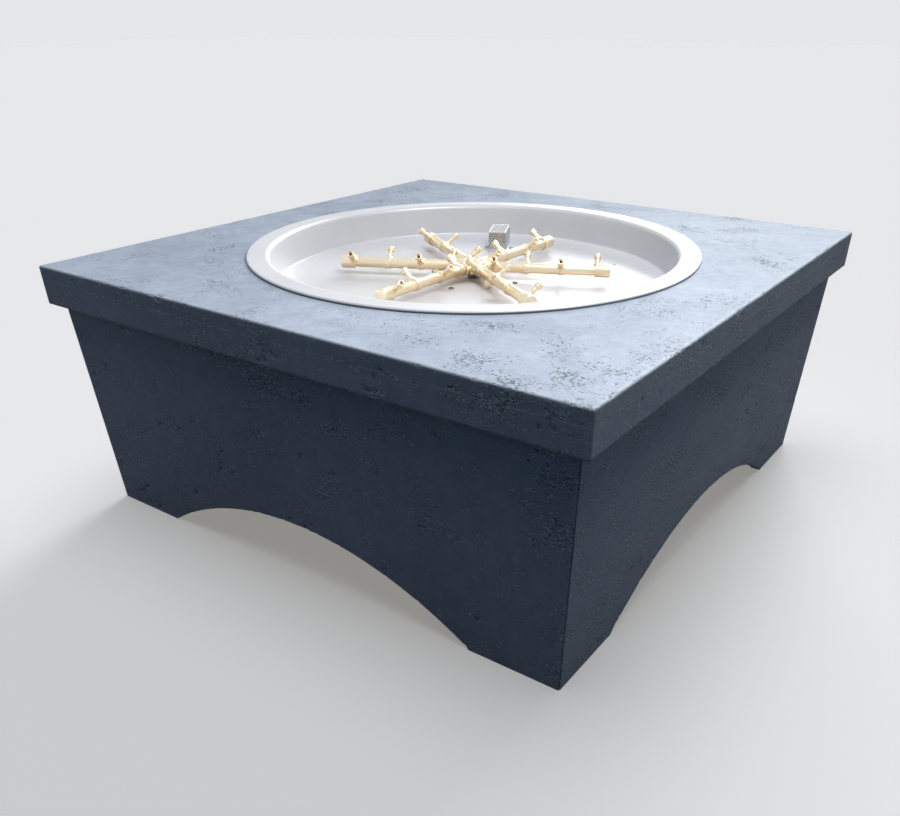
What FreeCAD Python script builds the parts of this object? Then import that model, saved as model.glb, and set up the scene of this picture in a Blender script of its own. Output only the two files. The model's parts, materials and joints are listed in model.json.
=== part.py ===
import FreeCAD, Part
import math
import os

# Square concrete fire table with a drop-in round fire pan.
# Millimetres, +Z up. The origin is on the floor, under the middle of the table.
# The front face looks along -Y and the right face along +X.
# Everything that hangs on the fire pan lifts out of the table with it.

V = FreeCAD.Vector
X_AXIS = V(1, 0, 0)
Y_AXIS = V(0, 1, 0)
Z_AXIS = V(0, 0, 1)

# ---------------------------------------------------------------- driving dimensions

# Concrete top: a slab with an apron all round and a round hole for the pan.
TOP_SIDE = 1219.2
TOP_HEIGHT = 518.0
SLAB_THICKNESS = 20.0
APRON_HEIGHT = 78.0
APRON_THICKNESS = 18.0
APRON_DRAFT = 4.3
TOP_ARRIS = 4.0
HOLE_ARRIS = 3.0

# Concrete base: four leaning panels, mitred at the corners, each with an arch.
APRON_CLEARANCE = 3.5
BASE_WALL = 18.0
BASE_LEAN = 38.4 / 440.0
BASE_ARRIS = 4.0
MITRE_GAP = 0.5
ARCH_SPAN = 750.0
ARCH_RISE = 114.0
ARCH_ARRIS = 2.5

# Steel angles in the corners and under the slab, with their screws.
ANGLE_LEG = 40.0
ANGLE_SHEET = 3.0
ANGLE_FOOT = 30.0
ANGLE_HEAD_ROOM = 48.0
ANGLE_SCREW_ROWS = 4
CLEAT_LEG = 30.0
CLEAT_END_ROOM = 60.0
CLEAT_SCREWS = 5
CLEAT_SCREW_INSET = 40.0
ANGLE_SCREW_INSET = 25.0
SCREW_RADIUS = 2.5
SCREW_LENGTH = 15.0
SCREW_HEAD_RADIUS = 5.0
SCREW_HEAD_HEIGHT = 3.0
SCREW_DOME = 1.8
SCREW_SOCKET_RADIUS = 1.75
SCREW_SOCKET_DEPTH = 1.6
SCREW_CLEARANCE = 0.15

# Fire pan: pressed sheet with a flat floor, a steep wall and a wide rolled flange.
PAN_SHEET = 2.0
PAN_FLANGE_RADIUS = 464.5
PAN_WALL_RADIUS = 420.0
PAN_WALL_TAPER = 8.0
PAN_DEPTH = 65.0
PAN_FLANGE_RISE = 6.0
PAN_LIP_ROLL = 11.0
PAN_FLOOR_ROLL = 6.0
PAN_HEM_ROLL = 4.0
HOLE_CLEARANCE = 8.0
DRAIN_RADIUS = 3.0
DRAIN_CIRCLE = 332.0
DRAIN_ANGLE = 54.0

# Burner: a hub with six pipes, each with four jets that tilt to alternate sides.
PIPE_RADIUS = 10.65
PIPE_BORE = 7.9
PIPE_HEIGHT = 25.0
PIPE_FIT = 0.1
ARM_COUNT = 6
ARM_ANGLE = 26.7
ARM_LENGTH = 285.0
HUB_RADIUS = 27.0
HUB_RISE = 13.5
HUB_ROUND = 4.7
HUB_SOCKET_WALL = 3.25
HUB_SOCKET_ROOT = 10.0
HUB_SOCKET_BEVEL = 1.0
HUB_SOCKET_REACH = 38.0
HUB_NECK_WALL = 2.75
HUB_NECK_DROP = 16.0
RISER_STOP = 4.0
CAP_LENGTH = 31.0
CAP_WALL = 3.0
CAP_ROUND = 1.5
JET_STATIONS = (46.0, 112.0, 184.0, 258.0)
JET_TILT = 52.0
JET_TUBE_RADIUS = 5.1
JET_TUBE_BORE = 3.2
JET_HEAD_RADIUS = 7.2
JET_HEAD_BORE = 4.6
JET_HEAD_LENGTH = 10.0
JET_HEAD_DEPTH = 4.0
JET_HEAD_BEVEL = 1.2
JET_ROOT_GAP = 0.6
JET_REACH = 41.0
COLLAR_WIDTH = 12.0
COLLAR_WALL = 1.4
BOSS_RADIUS = 6.6
BOSS_HEIGHT = 4.85
LEG_CIRCLE = 78.0
LEG_FLATS = 17.0
LEG_ARMS = (1, 3, 5)

# Riser and what it hangs from.
RISER_HOLE_CLEARANCE = 0.6
LOCKNUT_BAND = 5.35
LOCKNUT_HEIGHT = 6.5
LOCKNUT_TURN = 12.0
WASHER_BAND = 8.35
RING_NUT_BAND = 1.75
RING_WASHER_BAND = 3.85
RING_NUT_ROUND = 0.8
WASHER_HEIGHT = 1.5
BRACKET_SHEET = 3.0
ELBOW_WALL = 4.25
ELBOW_LEG = 28.0
ELBOW_GAP = 12.0
THREAD_DEPTH = 14.0

# Air mixer on the elbow, with a sleeve that turns over its two windows.
MIXER_RADIUS = 16.0
MIXER_LENGTH = 52.0
MIXER_COLLAR = 19.0
MIXER_COLLAR_WIDTH = 6.0
MIXER_SPIGOT = 14.0
ORIFICE_RADIUS = 1.6
SHUTTER_WALL = 1.6
SHUTTER_CLEARANCE = 0.3
WINDOW_LENGTH = 20.0
WINDOW_HALF_WIDTH = 7.0
TAB_HEIGHT = 7.0
TAB_WIDTH = 3.0
TAB_LENGTH = 24.0

# Flexible gas hose from the mixer to the safety valve.
HOSE_RADIUS = 7.0
HOSE_BORE = 5.0
HOSE_END_RUN = 45.0
HOSE_MID_RUN = 50.0
HOSE_STEP = 30.0
HOSE_NUT_FLATS = 24.0
HOSE_NUT_LENGTH = 18.0

# Gas train below the hose, behind the control plate.
VALVE_WIDTH = 44.0
VALVE_DEPTH = 40.0
VALVE_HEIGHT = 50.0
VALVE_BEVEL = 3.0
VALVE_BOSS_RADIUS = 12.0
VALVE_BOSS_PROUD = 1.0
VALVE_OUTLET_DEPTH = 10.0
PORT_SPREAD = 11.0
PORT_RISE = 8.0
PORT_PROUD = 6.0
PORT_WALL = 3.0
VALVE_TO_PLATE = 10.0
SPINDLE_RADIUS = 4.0
SPINDLE_ROOT = 4.0
STEM_CLEARANCE = 0.3
KNOB_RADIUS = 24.0
KNOB_DEPTH = 20.0
KNOB_BORE_DEPTH = 12.0
KNOB_ROUND = 4.0
FLUTE_COUNT = 12
FLUTE_RADIUS = 3.4
FLUTE_SHALLOW = 1.4
POINTER_WIDTH = 5.0
POINTER_LENGTH = 38.0
POINTER_PROUD = 3.0
POINTER_DEPTH = 6.0
KNOB_GAP = 8.0
KNOB_PUSH = 5.0
KNOB_FIT = 0.08
NIPPLE_LENGTH = 14.0
BALL_BODY_RADIUS = 17.0
BALL_HEX_FLATS = 28.0
BALL_HEX_HEIGHT = 15.0
BALL_BODY_HEIGHT = 26.0
BALL_BOSS_RADIUS = 8.0
BALL_BORE = 6.4
STEM_ROOT = 9.0
STEM_PROUD = 7.0
INLET_RADIUS = 9.5
INLET_DEPTH = 15.0
LEVER_LENGTH = 95.0
LEVER_WIDTH = 18.0
LEVER_SHEET = 3.0
LEVER_STANDOFF = 8.0
LEVER_RUN_GAP = 1.0
LEVER_NUT_FLATS = 13.0
LEVER_NUT_HEIGHT = 5.0
SLEEVE_LENGTH = 58.0
SLEEVE_WALL = 2.0
SLEEVE_ROUND = 1.4

# Control bracket: a plate under the pan, bent down in front of the valve.
BRACKET_HALF_WIDTH = 98.0
BRACKET_BACK = 125.0
BRACKET_WING = 18.0
BOLT_CIRCLE = 97.0
BOLT_ANGLE = 7.0
BOLT_RADIUS = 3.0
BOLT_HEAD_RADIUS = 5.5
BOLT_HEAD_HEIGHT = 3.2
BOLT_DOME = 2.2
BOLT_LENGTH = 14.0
BOLT_NUT_FLATS = 10.0
BOLT_NUT_HEIGHT = 5.0
NUT_FIT = 0.05
BEND_ROUND = 2.7
PLATE_RISE = 4.0
PLATE_CLEARANCE = 0.3

# Push-button spark igniter on the control plate.
IGNITER_X = -62.0
IGNITER_RADIUS = 11.0
IGNITER_LENGTH = 60.0
IGNITER_WALL = 1.6
BEZEL_RADIUS = 15.0
BEZEL_DEPTH = 4.0
BUTTON_RADIUS = 8.0
BUTTON_PROUD = 7.0
BUTTON_LENGTH = 14.0
BUTTON_CLEARANCE = 0.3
RIM_ROUND = 1.5
BATTERY_RADIUS = 5.25
BATTERY_LENGTH = 40.0
IGNITER_NUT_FLATS = 28.0
IGNITER_NUT_HEIGHT = 5.0

# Pilot: burner, electrode and flame sensor in a perforated cage.
PILOT_CIRCLE = 272.0
PILOT_ANGLE = 112.0
PILOT_TURN = 26.7
CAGE_WIDTH = 41.0
CAGE_LENGTH = 86.0
CAGE_HEIGHT = 47.0
CAGE_SHEET = 1.0
CAGE_HOLE_RADIUS = 2.3
CAGE_PITCH = 7.2
CAGE_ROW_STEP = 6.264
CAGE_FIRST_ROW = 7.0
CAGE_MARGIN = 5.0
CAGE_ROUND = 2.0
BASE_SHEET = 1.2
BASE_MARGIN = 1.5
EAR_LENGTH = 16.0
EAR_WIDTH = 20.0
EAR_GAP = 0.1
EAR_SCREW_SHARE = 0.55
EAR_SCREW_LENGTH = 8.0
PILOT_SPACING = 20.0
PILOT_STEM_RADIUS = 4.0
PILOT_STEM_TOP = 30.0
PILOT_NUT_FLATS = 12.0
PILOT_NUT_TOP = 9.0
PILOT_HOOD_RADIUS = 6.0
PILOT_HOOD_FOOT = 24.0
PILOT_HOOD_TOP = 36.0
PILOT_BORE = 2.4
PILOT_SLOT_WIDTH = 4.0
PILOT_SLOT_HEIGHT = 5.0
PILOT_SLOT_FOOT = 28.0
ELECTRODE_RADIUS = 3.5
ELECTRODE_TOP = 22.0
SPARK_WIRE_RADIUS = 0.9
SPARK_WIRE_TOP = 30.0
SPARK_GAP = 3.5
SPARK_TIP_TOP = 34.0
SENSOR_BODY_RADIUS = 3.6
SENSOR_BODY_TOP = 14.0
SENSOR_TIP_RADIUS = 2.3
SENSOR_TIP_TOP = 33.0
LINE_FIT = 0.8
PILOT_TUBE_RADIUS = 3.2
SENSOR_LEAD_RADIUS = 1.6
SPARK_LEAD_RADIUS = 2.5
FLOOR_HOLE_CLEARANCE = 1.0

# How far a cutting tool runs past the face that it cuts, and how near counts as touching.
OVER = 1.0
TINY = 1e-3

# ---------------------------------------------------------------- derived places

APRON_FOOT = TOP_HEIGHT - APRON_HEIGHT
SLAB_UNDER = TOP_HEIGHT - SLAB_THICKNESS
TOP_HALF = TOP_SIDE / 2
SHOULDER_HALF = TOP_HALF - APRON_DRAFT - APRON_THICKNESS - APRON_CLEARANCE
HOLE_RADIUS = PAN_WALL_RADIUS + PAN_SHEET + HOLE_CLEARANCE
PAN_FLOOR = TOP_HEIGHT - PAN_DEPTH
PAN_UNDER = PAN_FLOOR - PAN_SHEET
PIPE_Z = PAN_FLOOR + PIPE_HEIGHT
NECK_FOOT = PIPE_Z - HUB_NECK_DROP
PIPE_SOCKET = PIPE_RADIUS + PIPE_FIT
HUB_SOCKET_RADIUS = PIPE_SOCKET + HUB_SOCKET_WALL
HUB_NECK_RADIUS = PIPE_SOCKET + HUB_NECK_WALL
CAP_RADIUS = PIPE_SOCKET + CAP_WALL
BOSS_REACH = PIPE_RADIUS + BOSS_HEIGHT
ELBOW_RADIUS = PIPE_SOCKET + ELBOW_WALL
LOCKNUT_FLATS = 2 * (PIPE_RADIUS + LOCKNUT_BAND)
BRACKET_UNDER = PAN_UNDER - BRACKET_SHEET
LOWER_NUT_FOOT = BRACKET_UNDER - WASHER_HEIGHT - LOCKNUT_HEIGHT
ELBOW_TOP = LOWER_NUT_FOOT - ELBOW_GAP
ELBOW_Z = ELBOW_TOP - ELBOW_LEG
MIXER_START = -ELBOW_LEG
MIXER_END = MIXER_START - MIXER_LENGTH
SPIGOT_END = MIXER_END - MIXER_SPIGOT
HOSE_START = V(0, MIXER_END - HOSE_NUT_LENGTH, ELBOW_Z)


def half_at(height):
    """Half the base's outside width at a height above the floor."""
    return SHOULDER_HALF + BASE_LEAN * (height - APRON_FOOT)


# ---------------------------------------------------------------- shape helpers

def polyhedron(lower, upper):
    """Closed solid between two flat polygons with as many corners each."""
    rings = [lower[::-1], upper]
    for index in range(len(lower)):
        nxt = (index + 1) % len(lower)
        rings.append([lower[index], lower[nxt], upper[nxt], upper[index]])
    shell = Part.makeShell([Part.Face(Part.makePolygon(ring + ring[:1])) for ring in rings])
    shell.sewShape()
    solid = Part.makeSolid(shell)
    if solid.Volume < 0:
        solid.reverse()
    return solid


def square(half, height):
    """Corners of a centred square at one height."""
    return [V(-half, -half, height), V(half, -half, height), V(half, half, height), V(-half, half, height)]


def frustum(lower_half, lower_z, upper_half, upper_z):
    """Four-sided block between two centred squares."""
    return polyhedron(square(lower_half, lower_z), square(upper_half, upper_z))


def rod(start, end, radius):
    """Solid cylinder from one point to another."""
    along = end - start
    return Part.makeCylinder(radius, along.Length, start, along)


def pipe(start, end, radius, bore):
    """Cylinder with a bore right through."""
    along = (end - start).normalize()
    return rod(start, end, radius).cut(rod(start - along, end + along, bore))


def hexagon(start, end, flats, turn=0.0):
    """Hexagonal bar from one point to another, measured across its flats."""
    along = end - start
    side = along.cross(Z_AXIS) if abs(along.normalize().z) < 0.9 else V(X_AXIS)
    side = side.normalize().multiply(flats / math.sqrt(3))
    spin = FreeCAD.Rotation(along, turn)
    corners = []
    for index in range(6):
        arm = FreeCAD.Rotation(along, 60 * index).multVec(spin.multVec(side))
        corners.append(start + arm)
    face = Part.Face(Part.makePolygon(corners + corners[:1]))
    return face.extrude(end - start)


def rounded_path(points, radii):
    """Edges along a polyline whose inner corners are tangent arcs of the given radii."""
    edges = []
    last = points[0]
    for before, corner, after, radius in zip(points, points[1:], points[2:], radii):
        inward = (before - corner).normalize()
        outward = (after - corner).normalize()
        half_turn = (math.pi - inward.getAngle(outward)) / 2
        trim = radius * math.tan(half_turn)
        start = corner + inward * trim
        end = corner + outward * trim
        middle_dir = (inward + outward).normalize()
        centre = corner + middle_dir * (radius / math.cos(half_turn))
        if (start - last).Length > 1e-6:
            edges.append(Part.LineSegment(last, start).toShape())
        edges.append(Part.Arc(start, centre - middle_dir * radius, end).toShape())
        last = end
    if (points[-1] - last).Length > 1e-6:
        edges.append(Part.LineSegment(last, points[-1]).toShape())
    return edges


def offset_points(points, distance):
    """Polyline in the XZ plane moved sideways by a distance, to the right of its way."""
    normals = []
    for start, end in zip(points, points[1:]):
        along = (end - start).normalize()
        normals.append(V(along.z, 0, -along.x))
    moved = [points[0] + normals[0] * distance]
    for corner, one, two in zip(points[1:-1], normals, normals[1:]):
        bisector = (one + two).normalize()
        moved.append(corner + bisector * (distance / bisector.dot(one)))
    moved.append(points[-1] + normals[-1] * distance)
    return moved


def swept_tube(name, points, radius, bore=0.0):
    """Tube along straight runs and arcs, each as large as its shorter run allows."""
    radii = []
    for before, corner, after in zip(points, points[1:], points[2:]):
        turn = math.pi - (before - corner).getAngle(after - corner)
        shorter = min((corner - before).Length, (after - corner).Length)
        radii.append(0.45 * shorter / math.tan(turn / 2))
    print(name, "arc radii", [round(value, 1) for value in radii])
    path = Part.Wire(rounded_path(points, radii))
    along = points[1] - points[0]
    section = Part.Wire(Part.makeCircle(radius, points[0], along))
    tube = path.makePipeShell([section], True, True)
    if bore:
        inner = Part.Wire(Part.makeCircle(bore, points[0], along))
        tube = tube.cut(path.makePipeShell([inner], True, True))
    expected = math.pi * (radius ** 2 - bore ** 2) * path.Length
    share = round(tube.Volume / expected, 4)
    print(name, "length", round(path.Length, 1), "volume over section times length", share)
    return tube.Solids[0]


def turned(shape, angle, about=None):
    """Copy of a shape turned about the vertical through a point."""
    copy = shape.copy()
    copy.rotate(about or V(0, 0, 0), Z_AXIS, angle)
    return copy


def pan_screw(point, into, length=SCREW_LENGTH):
    """Screw with a domed head on a surface, its shank going into it."""
    head = rod(point, point - into * SCREW_HEAD_HEIGHT, SCREW_HEAD_RADIUS)
    rim = [edge for edge in head.Edges if abs((edge.CenterOfMass - point).Length - SCREW_HEAD_HEIGHT) < TINY]
    head = head.makeFillet(SCREW_DOME, rim[:1])
    crown = point - into * SCREW_HEAD_HEIGHT
    slot = rod(crown - into * OVER, crown + into * SCREW_SOCKET_DEPTH, SCREW_SOCKET_RADIUS)
    shank = rod(point, point + into * length, SCREW_RADIUS)
    return head.fuse(shank).cut(slot).removeSplitter().Solids[0]


def screw_hole(point, into, length=SCREW_LENGTH):
    """The hole that a screw's shank needs."""
    return rod(point - into * TINY, point + into * (length + OVER), SCREW_RADIUS + SCREW_CLEARANCE)


# ---------------------------------------------------------------- concrete and its steel

def edges_on(shape, test):
    """Edges whose middle passes a test."""
    return [edge for edge in shape.Edges
            if test(edge.valueAt((edge.FirstParameter + edge.LastParameter) / 2))]


def table_top():
    """Slab and apron in one casting, with the pan's round hole."""
    low_half = TOP_HALF - APRON_DRAFT
    body = frustum(low_half, APRON_FOOT, TOP_HALF, TOP_HEIGHT)
    upright = edges_on(body, lambda p: abs(abs(p.x) - abs(p.y)) < TINY and abs(p.x) > low_half - 1)
    body = body.makeFillet(TOP_ARRIS, upright)
    rims = [edge for edge in body.Edges if edge.BoundBox.ZLength < TINY]
    body = body.makeFillet(TOP_ARRIS, rims)
    inner_low = low_half - APRON_THICKNESS
    inner_high = inner_low + APRON_DRAFT * (SLAB_UNDER - APRON_FOOT) / APRON_HEIGHT
    slope = (inner_high - inner_low) / (SLAB_UNDER - APRON_FOOT)
    body = body.cut(frustum(inner_low - slope, APRON_FOOT - OVER, inner_high, SLAB_UNDER))
    hole = rod(V(0, 0, SLAB_UNDER - OVER), V(0, 0, TOP_HEIGHT + OVER), HOLE_RADIUS)
    flare_foot = V(0, 0, TOP_HEIGHT - HOLE_ARRIS)
    flare = Part.makeCone(HOLE_RADIUS, HOLE_RADIUS + HOLE_ARRIS, HOLE_ARRIS, flare_foot)
    return body.cut(hole).cut(flare)


def base_ring():
    """The whole base before its mitre cuts, with the four arches."""
    outer = frustum(half_at(0), 0, half_at(SLAB_UNDER), SLAB_UNDER)
    upright = edges_on(outer, lambda p: abs(abs(p.x) - abs(p.y)) < TINY and 1 < p.z < SLAB_UNDER - OVER)
    outer = outer.makeFillet(BASE_ARRIS, upright)
    low = half_at(-OVER) - BASE_WALL
    high = half_at(SLAB_UNDER + OVER) - BASE_WALL
    ring = outer.cut(frustum(low, -OVER, high, SLAB_UNDER + OVER))
    arch_radius = (ARCH_SPAN ** 2 / 4 + ARCH_RISE ** 2) / (2 * ARCH_RISE)
    reach = TOP_SIDE
    for axis in (X_AXIS, Y_AXIS):
        middle = V(0, 0, ARCH_RISE - arch_radius)
        ring = ring.cut(rod(middle - axis * reach, middle + axis * reach, arch_radius))

    def on_arch(point):
        outside = abs(max(abs(point.x), abs(point.y)) - half_at(point.z)) < OVER
        return outside and 1.0 < point.z < ARCH_RISE + 1 and min(abs(point.x), abs(point.y)) < ARCH_SPAN / 2

    return ring.makeFillet(ARCH_ARRIS, edges_on(ring, on_arch))


def wall_frame(turn):
    """Inside face of one panel: a point on the floor line, the way out, and the way up it."""
    spin = FreeCAD.Rotation(Z_AXIS, turn)
    outward = spin.multVec(V(0, -1, -BASE_LEAN).normalize())
    upward = spin.multVec(V(0, -BASE_LEAN, 1).normalize())
    along = spin.multVec(V(1, 0, 0))
    foot = spin.multVec(V(0, -(half_at(0) - BASE_WALL), 0))
    return foot, outward, upward, along


def inside_point(turn, across, height):
    """Point on a panel's inside face at a distance along it and a height above the floor."""
    foot, outward, upward, along = wall_frame(turn)
    return foot + along * across + upward * (height / upward.z)


def corner_angle(turn):
    """Steel angle that follows the leaning inside corner left of a panel."""
    rings = []
    for height in (ANGLE_FOOT, SLAB_UNDER - ANGLE_HEAD_ROOM):
        corner = half_at(height) - BASE_WALL
        outline = [(0, 0), (ANGLE_LEG, 0), (ANGLE_LEG, ANGLE_SHEET), (ANGLE_SHEET, ANGLE_SHEET),
                   (ANGLE_SHEET, ANGLE_LEG), (0, ANGLE_LEG)]
        rings.append([V(-corner + x, -corner + y, height) for x, y in outline])
    return turned(polyhedron(*rings), turn)


def corner_screw_places():
    """Screw points on the legs of the corner angles, each with its panel's turn."""
    places = []
    low = ANGLE_FOOT + ANGLE_SCREW_INSET
    high = SLAB_UNDER - ANGLE_HEAD_ROOM - ANGLE_SCREW_INSET
    for turn in (0, 90, 180, 270):
        for row in range(ANGLE_SCREW_ROWS):
            height = low + (high - low) * row / (ANGLE_SCREW_ROWS - 1)
            reach = half_at(height) - BASE_WALL - ANGLE_LEG * 0.6
            for across in (-reach, reach):
                places.append((turn, across, height))
    return places


def cleat(turn):
    """Leaning steel angle under the slab along one panel."""
    low_z = SLAB_UNDER - CLEAT_LEG
    high_y = -(half_at(SLAB_UNDER) - BASE_WALL)
    low_y = -(half_at(low_z) - BASE_WALL)
    web = ANGLE_SHEET * math.sqrt(1 + BASE_LEAN ** 2)
    under = SLAB_UNDER - ANGLE_SHEET
    knee_y = high_y + web + BASE_LEAN * ANGLE_SHEET
    outline = [(high_y, SLAB_UNDER), (high_y + CLEAT_LEG, SLAB_UNDER), (high_y + CLEAT_LEG, under),
               (knee_y, under), (low_y + web, low_z), (low_y, low_z)]
    reach = -low_y - CLEAT_END_ROOM
    face = Part.Face(Part.makePolygon([V(-reach, y, z) for y, z in outline + outline[:1]]))
    return turned(face.extrude(V(2 * reach, 0, 0)), turn)


def cleat_screw_places():
    """Screw points along the leaning legs of the cleats."""
    places = []
    height = SLAB_UNDER - CLEAT_LEG * 0.6
    reach = half_at(height) - BASE_WALL - CLEAT_END_ROOM - CLEAT_SCREW_INSET
    for turn in (0, 90, 180, 270):
        for index in range(CLEAT_SCREWS):
            places.append((turn, -reach + 2 * reach * index / (CLEAT_SCREWS - 1), height))
    return places


def wall_screws(places):
    """Screws at the given places, their heads on the steel, and the holes they need."""
    screws = []
    holes = []
    for turn, across, height in places:
        outward = wall_frame(turn)[1]
        seat = inside_point(turn, across, height) - outward * ANGLE_SHEET
        screws.append(pan_screw(seat, outward))
        holes.append(screw_hole(seat, outward))
    return screws, holes


def panel_wedge(turn):
    """Quarter of the plan between two mitre cuts, a little narrower than the full quarter."""
    far = TOP_SIDE
    shift = MITRE_GAP / math.sqrt(2)
    ring = [V(0, -shift, 0), V(-far + shift, -far, 0), V(far - shift, -far, 0)]
    lower = [corner + V(0, 0, -OVER) for corner in ring]
    upper = [corner + V(0, 0, TOP_HEIGHT) for corner in ring]
    return turned(polyhedron(lower, upper), turn)


# ---------------------------------------------------------------- fire pan

def pan_profile():
    """Closed half section of the pan: the upper skin and the same line one sheet lower."""
    flange_top = TOP_HEIGHT + PAN_FLANGE_RISE
    skin = [V(0, 0, PAN_FLOOR), V(PAN_WALL_RADIUS - PAN_WALL_TAPER, 0, PAN_FLOOR),
            V(PAN_WALL_RADIUS, 0, flange_top), V(PAN_FLANGE_RADIUS, 0, flange_top),
            V(PAN_FLANGE_RADIUS, 0, TOP_HEIGHT)]
    under = offset_points(skin, PAN_SHEET)
    upper_edges = rounded_path(skin, (PAN_FLOOR_ROLL, PAN_LIP_ROLL, PAN_HEM_ROLL))
    under_radii = (PAN_FLOOR_ROLL + PAN_SHEET, PAN_LIP_ROLL - PAN_SHEET, PAN_HEM_ROLL - PAN_SHEET)
    under_edges = rounded_path(under, under_radii)
    ends = [Part.LineSegment(skin[0], under[0]).toShape(), Part.LineSegment(skin[-1], under[-1]).toShape()]
    ring = Part.__sortEdges__(upper_edges + under_edges + ends)
    return Part.Face(Part.Wire(ring))


def drain_points():
    """Four drain holes in the pan floor."""
    points = []
    for index in range(4):
        angle = math.radians(DRAIN_ANGLE + 90 * index)
        points.append(V(DRAIN_CIRCLE * math.cos(angle), DRAIN_CIRCLE * math.sin(angle), 0))
    return points


def bolt_points():
    """Four bolts that hold the control bracket under the pan."""
    points = []
    for index in range(4):
        angle = math.radians(BOLT_ANGLE + 90 * index)
        points.append(V(BOLT_CIRCLE * math.cos(angle), BOLT_CIRCLE * math.sin(angle), 0))
    return points


def upright_hole(point, radius):
    """Vertical drill through the pan floor and the bracket under it."""
    return rod(V(point.x, point.y, BRACKET_UNDER - OVER), V(point.x, point.y, PAN_FLOOR + OVER), radius)


def fire_pan():
    """Pan with its holes for the riser, the bolts, the pilot's lines and the drains."""
    pan = pan_profile().revolve(V(0, 0, 0), Z_AXIS, 360)
    cuts = [upright_hole(V(0, 0, 0), PIPE_RADIUS + RISER_HOLE_CLEARANCE)]
    cuts += [upright_hole(point, BOLT_RADIUS + SCREW_CLEARANCE) for point in bolt_points()]
    cuts += [upright_hole(point, DRAIN_RADIUS) for point in drain_points()]
    cuts += [upright_hole(point, radius + FLOOR_HOLE_CLEARANCE) for point, radius in pilot_lines()]
    cuts += [upright_hole(point, SCREW_RADIUS + SCREW_CLEARANCE) for point in ear_points()]
    return pan.cut(cuts)


# ---------------------------------------------------------------- burner

def arm_turn(index):
    """Direction of an arm in degrees, counted the same way as +X to +Y."""
    return ARM_ANGLE + 360.0 / ARM_COUNT * index


def burner_hub():
    """Round hub with a socket for each arm and a neck for the riser."""
    middle = V(0, 0, PIPE_Z)
    body = rod(middle - Z_AXIS * HUB_RISE, middle + Z_AXIS * HUB_RISE, HUB_RADIUS)
    rims = [edge for edge in body.Edges if edge.BoundBox.ZLength < TINY]
    body = body.makeFillet(HUB_ROUND, rims)
    body = body.fuse(rod(V(0, 0, NECK_FOOT), middle, HUB_NECK_RADIUS))
    bores = [rod(V(0, 0, NECK_FOOT - OVER), V(0, 0, PIPE_Z - RISER_STOP), PIPE_SOCKET),
             rod(V(0, 0, NECK_FOOT), middle, PIPE_BORE)]
    mouth = middle + X_AXIS * HUB_SOCKET_REACH
    socket = rod(middle + X_AXIS * HUB_SOCKET_ROOT, mouth, HUB_SOCKET_RADIUS)
    rim = edges_on(socket, lambda p: abs(p.x - HUB_SOCKET_REACH) < TINY)
    socket = socket.makeChamfer(HUB_SOCKET_BEVEL, rim)
    bore = rod(mouth - X_AXIS * THREAD_DEPTH, mouth + X_AXIS * OVER, PIPE_SOCKET)
    way = rod(middle, mouth, PIPE_BORE)
    for index in range(ARM_COUNT):
        body = body.fuse(turned(socket, arm_turn(index)))
        bores += [turned(bore, arm_turn(index)), turned(way, arm_turn(index))]
    return body.cut(bores).removeSplitter()


def jet_direction(index):
    """Way out of a jet on an arm along +X: stations tilt to alternate sides."""
    side = -1 if index % 2 == 0 else 1
    tilt = math.radians(JET_TILT)
    return V(0, side * math.sin(tilt), math.cos(tilt))


def burner_arm():
    """Pipe along +X with a hole under each jet."""
    start = V(HUB_SOCKET_REACH - THREAD_DEPTH, 0, PIPE_Z)
    end = V(ARM_LENGTH - CAP_WALL, 0, PIPE_Z)
    arm = pipe(start, end, PIPE_RADIUS, PIPE_BORE)
    holes = []
    for index, station in enumerate(JET_STATIONS):
        foot = V(station, 0, PIPE_Z)
        holes.append(rod(foot, foot + jet_direction(index) * (PIPE_RADIUS + 2), JET_TUBE_BORE))
    return arm.cut(holes)


def arm_cap():
    """Round end cap that carries the last jet."""
    start = V(ARM_LENGTH - CAP_LENGTH, 0, PIPE_Z)
    end = V(ARM_LENGTH, 0, PIPE_Z)
    cap = rod(start, end, CAP_RADIUS)
    rims = [edge for edge in cap.Edges if edge.BoundBox.XLength < TINY]
    cap = cap.makeFillet(CAP_ROUND, rims)
    cap = cap.cut(rod(start - X_AXIS, end - X_AXIS * CAP_WALL, PIPE_SOCKET))
    foot = V(JET_STATIONS[-1], 0, PIPE_Z)
    way = jet_direction(len(JET_STATIONS) - 1)
    return cap.cut(rod(foot, foot + way * BOSS_REACH, JET_TUBE_RADIUS + PIPE_FIT))


def jet_collar(index):
    """Ring round the pipe with a boss that holds one jet."""
    station = JET_STATIONS[index]
    foot = V(station, 0, PIPE_Z)
    way = jet_direction(index)
    half = X_AXIS * (COLLAR_WIDTH / 2)
    ring = rod(foot - half, foot + half, PIPE_SOCKET + COLLAR_WALL)
    ring = ring.fuse(rod(foot, foot + way * BOSS_REACH, BOSS_RADIUS))
    ring = ring.cut(rod(foot - half * 2, foot + half * 2, PIPE_SOCKET))
    return ring.cut(rod(foot, foot + way * (BOSS_REACH + OVER), JET_TUBE_RADIUS + PIPE_FIT))


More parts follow.
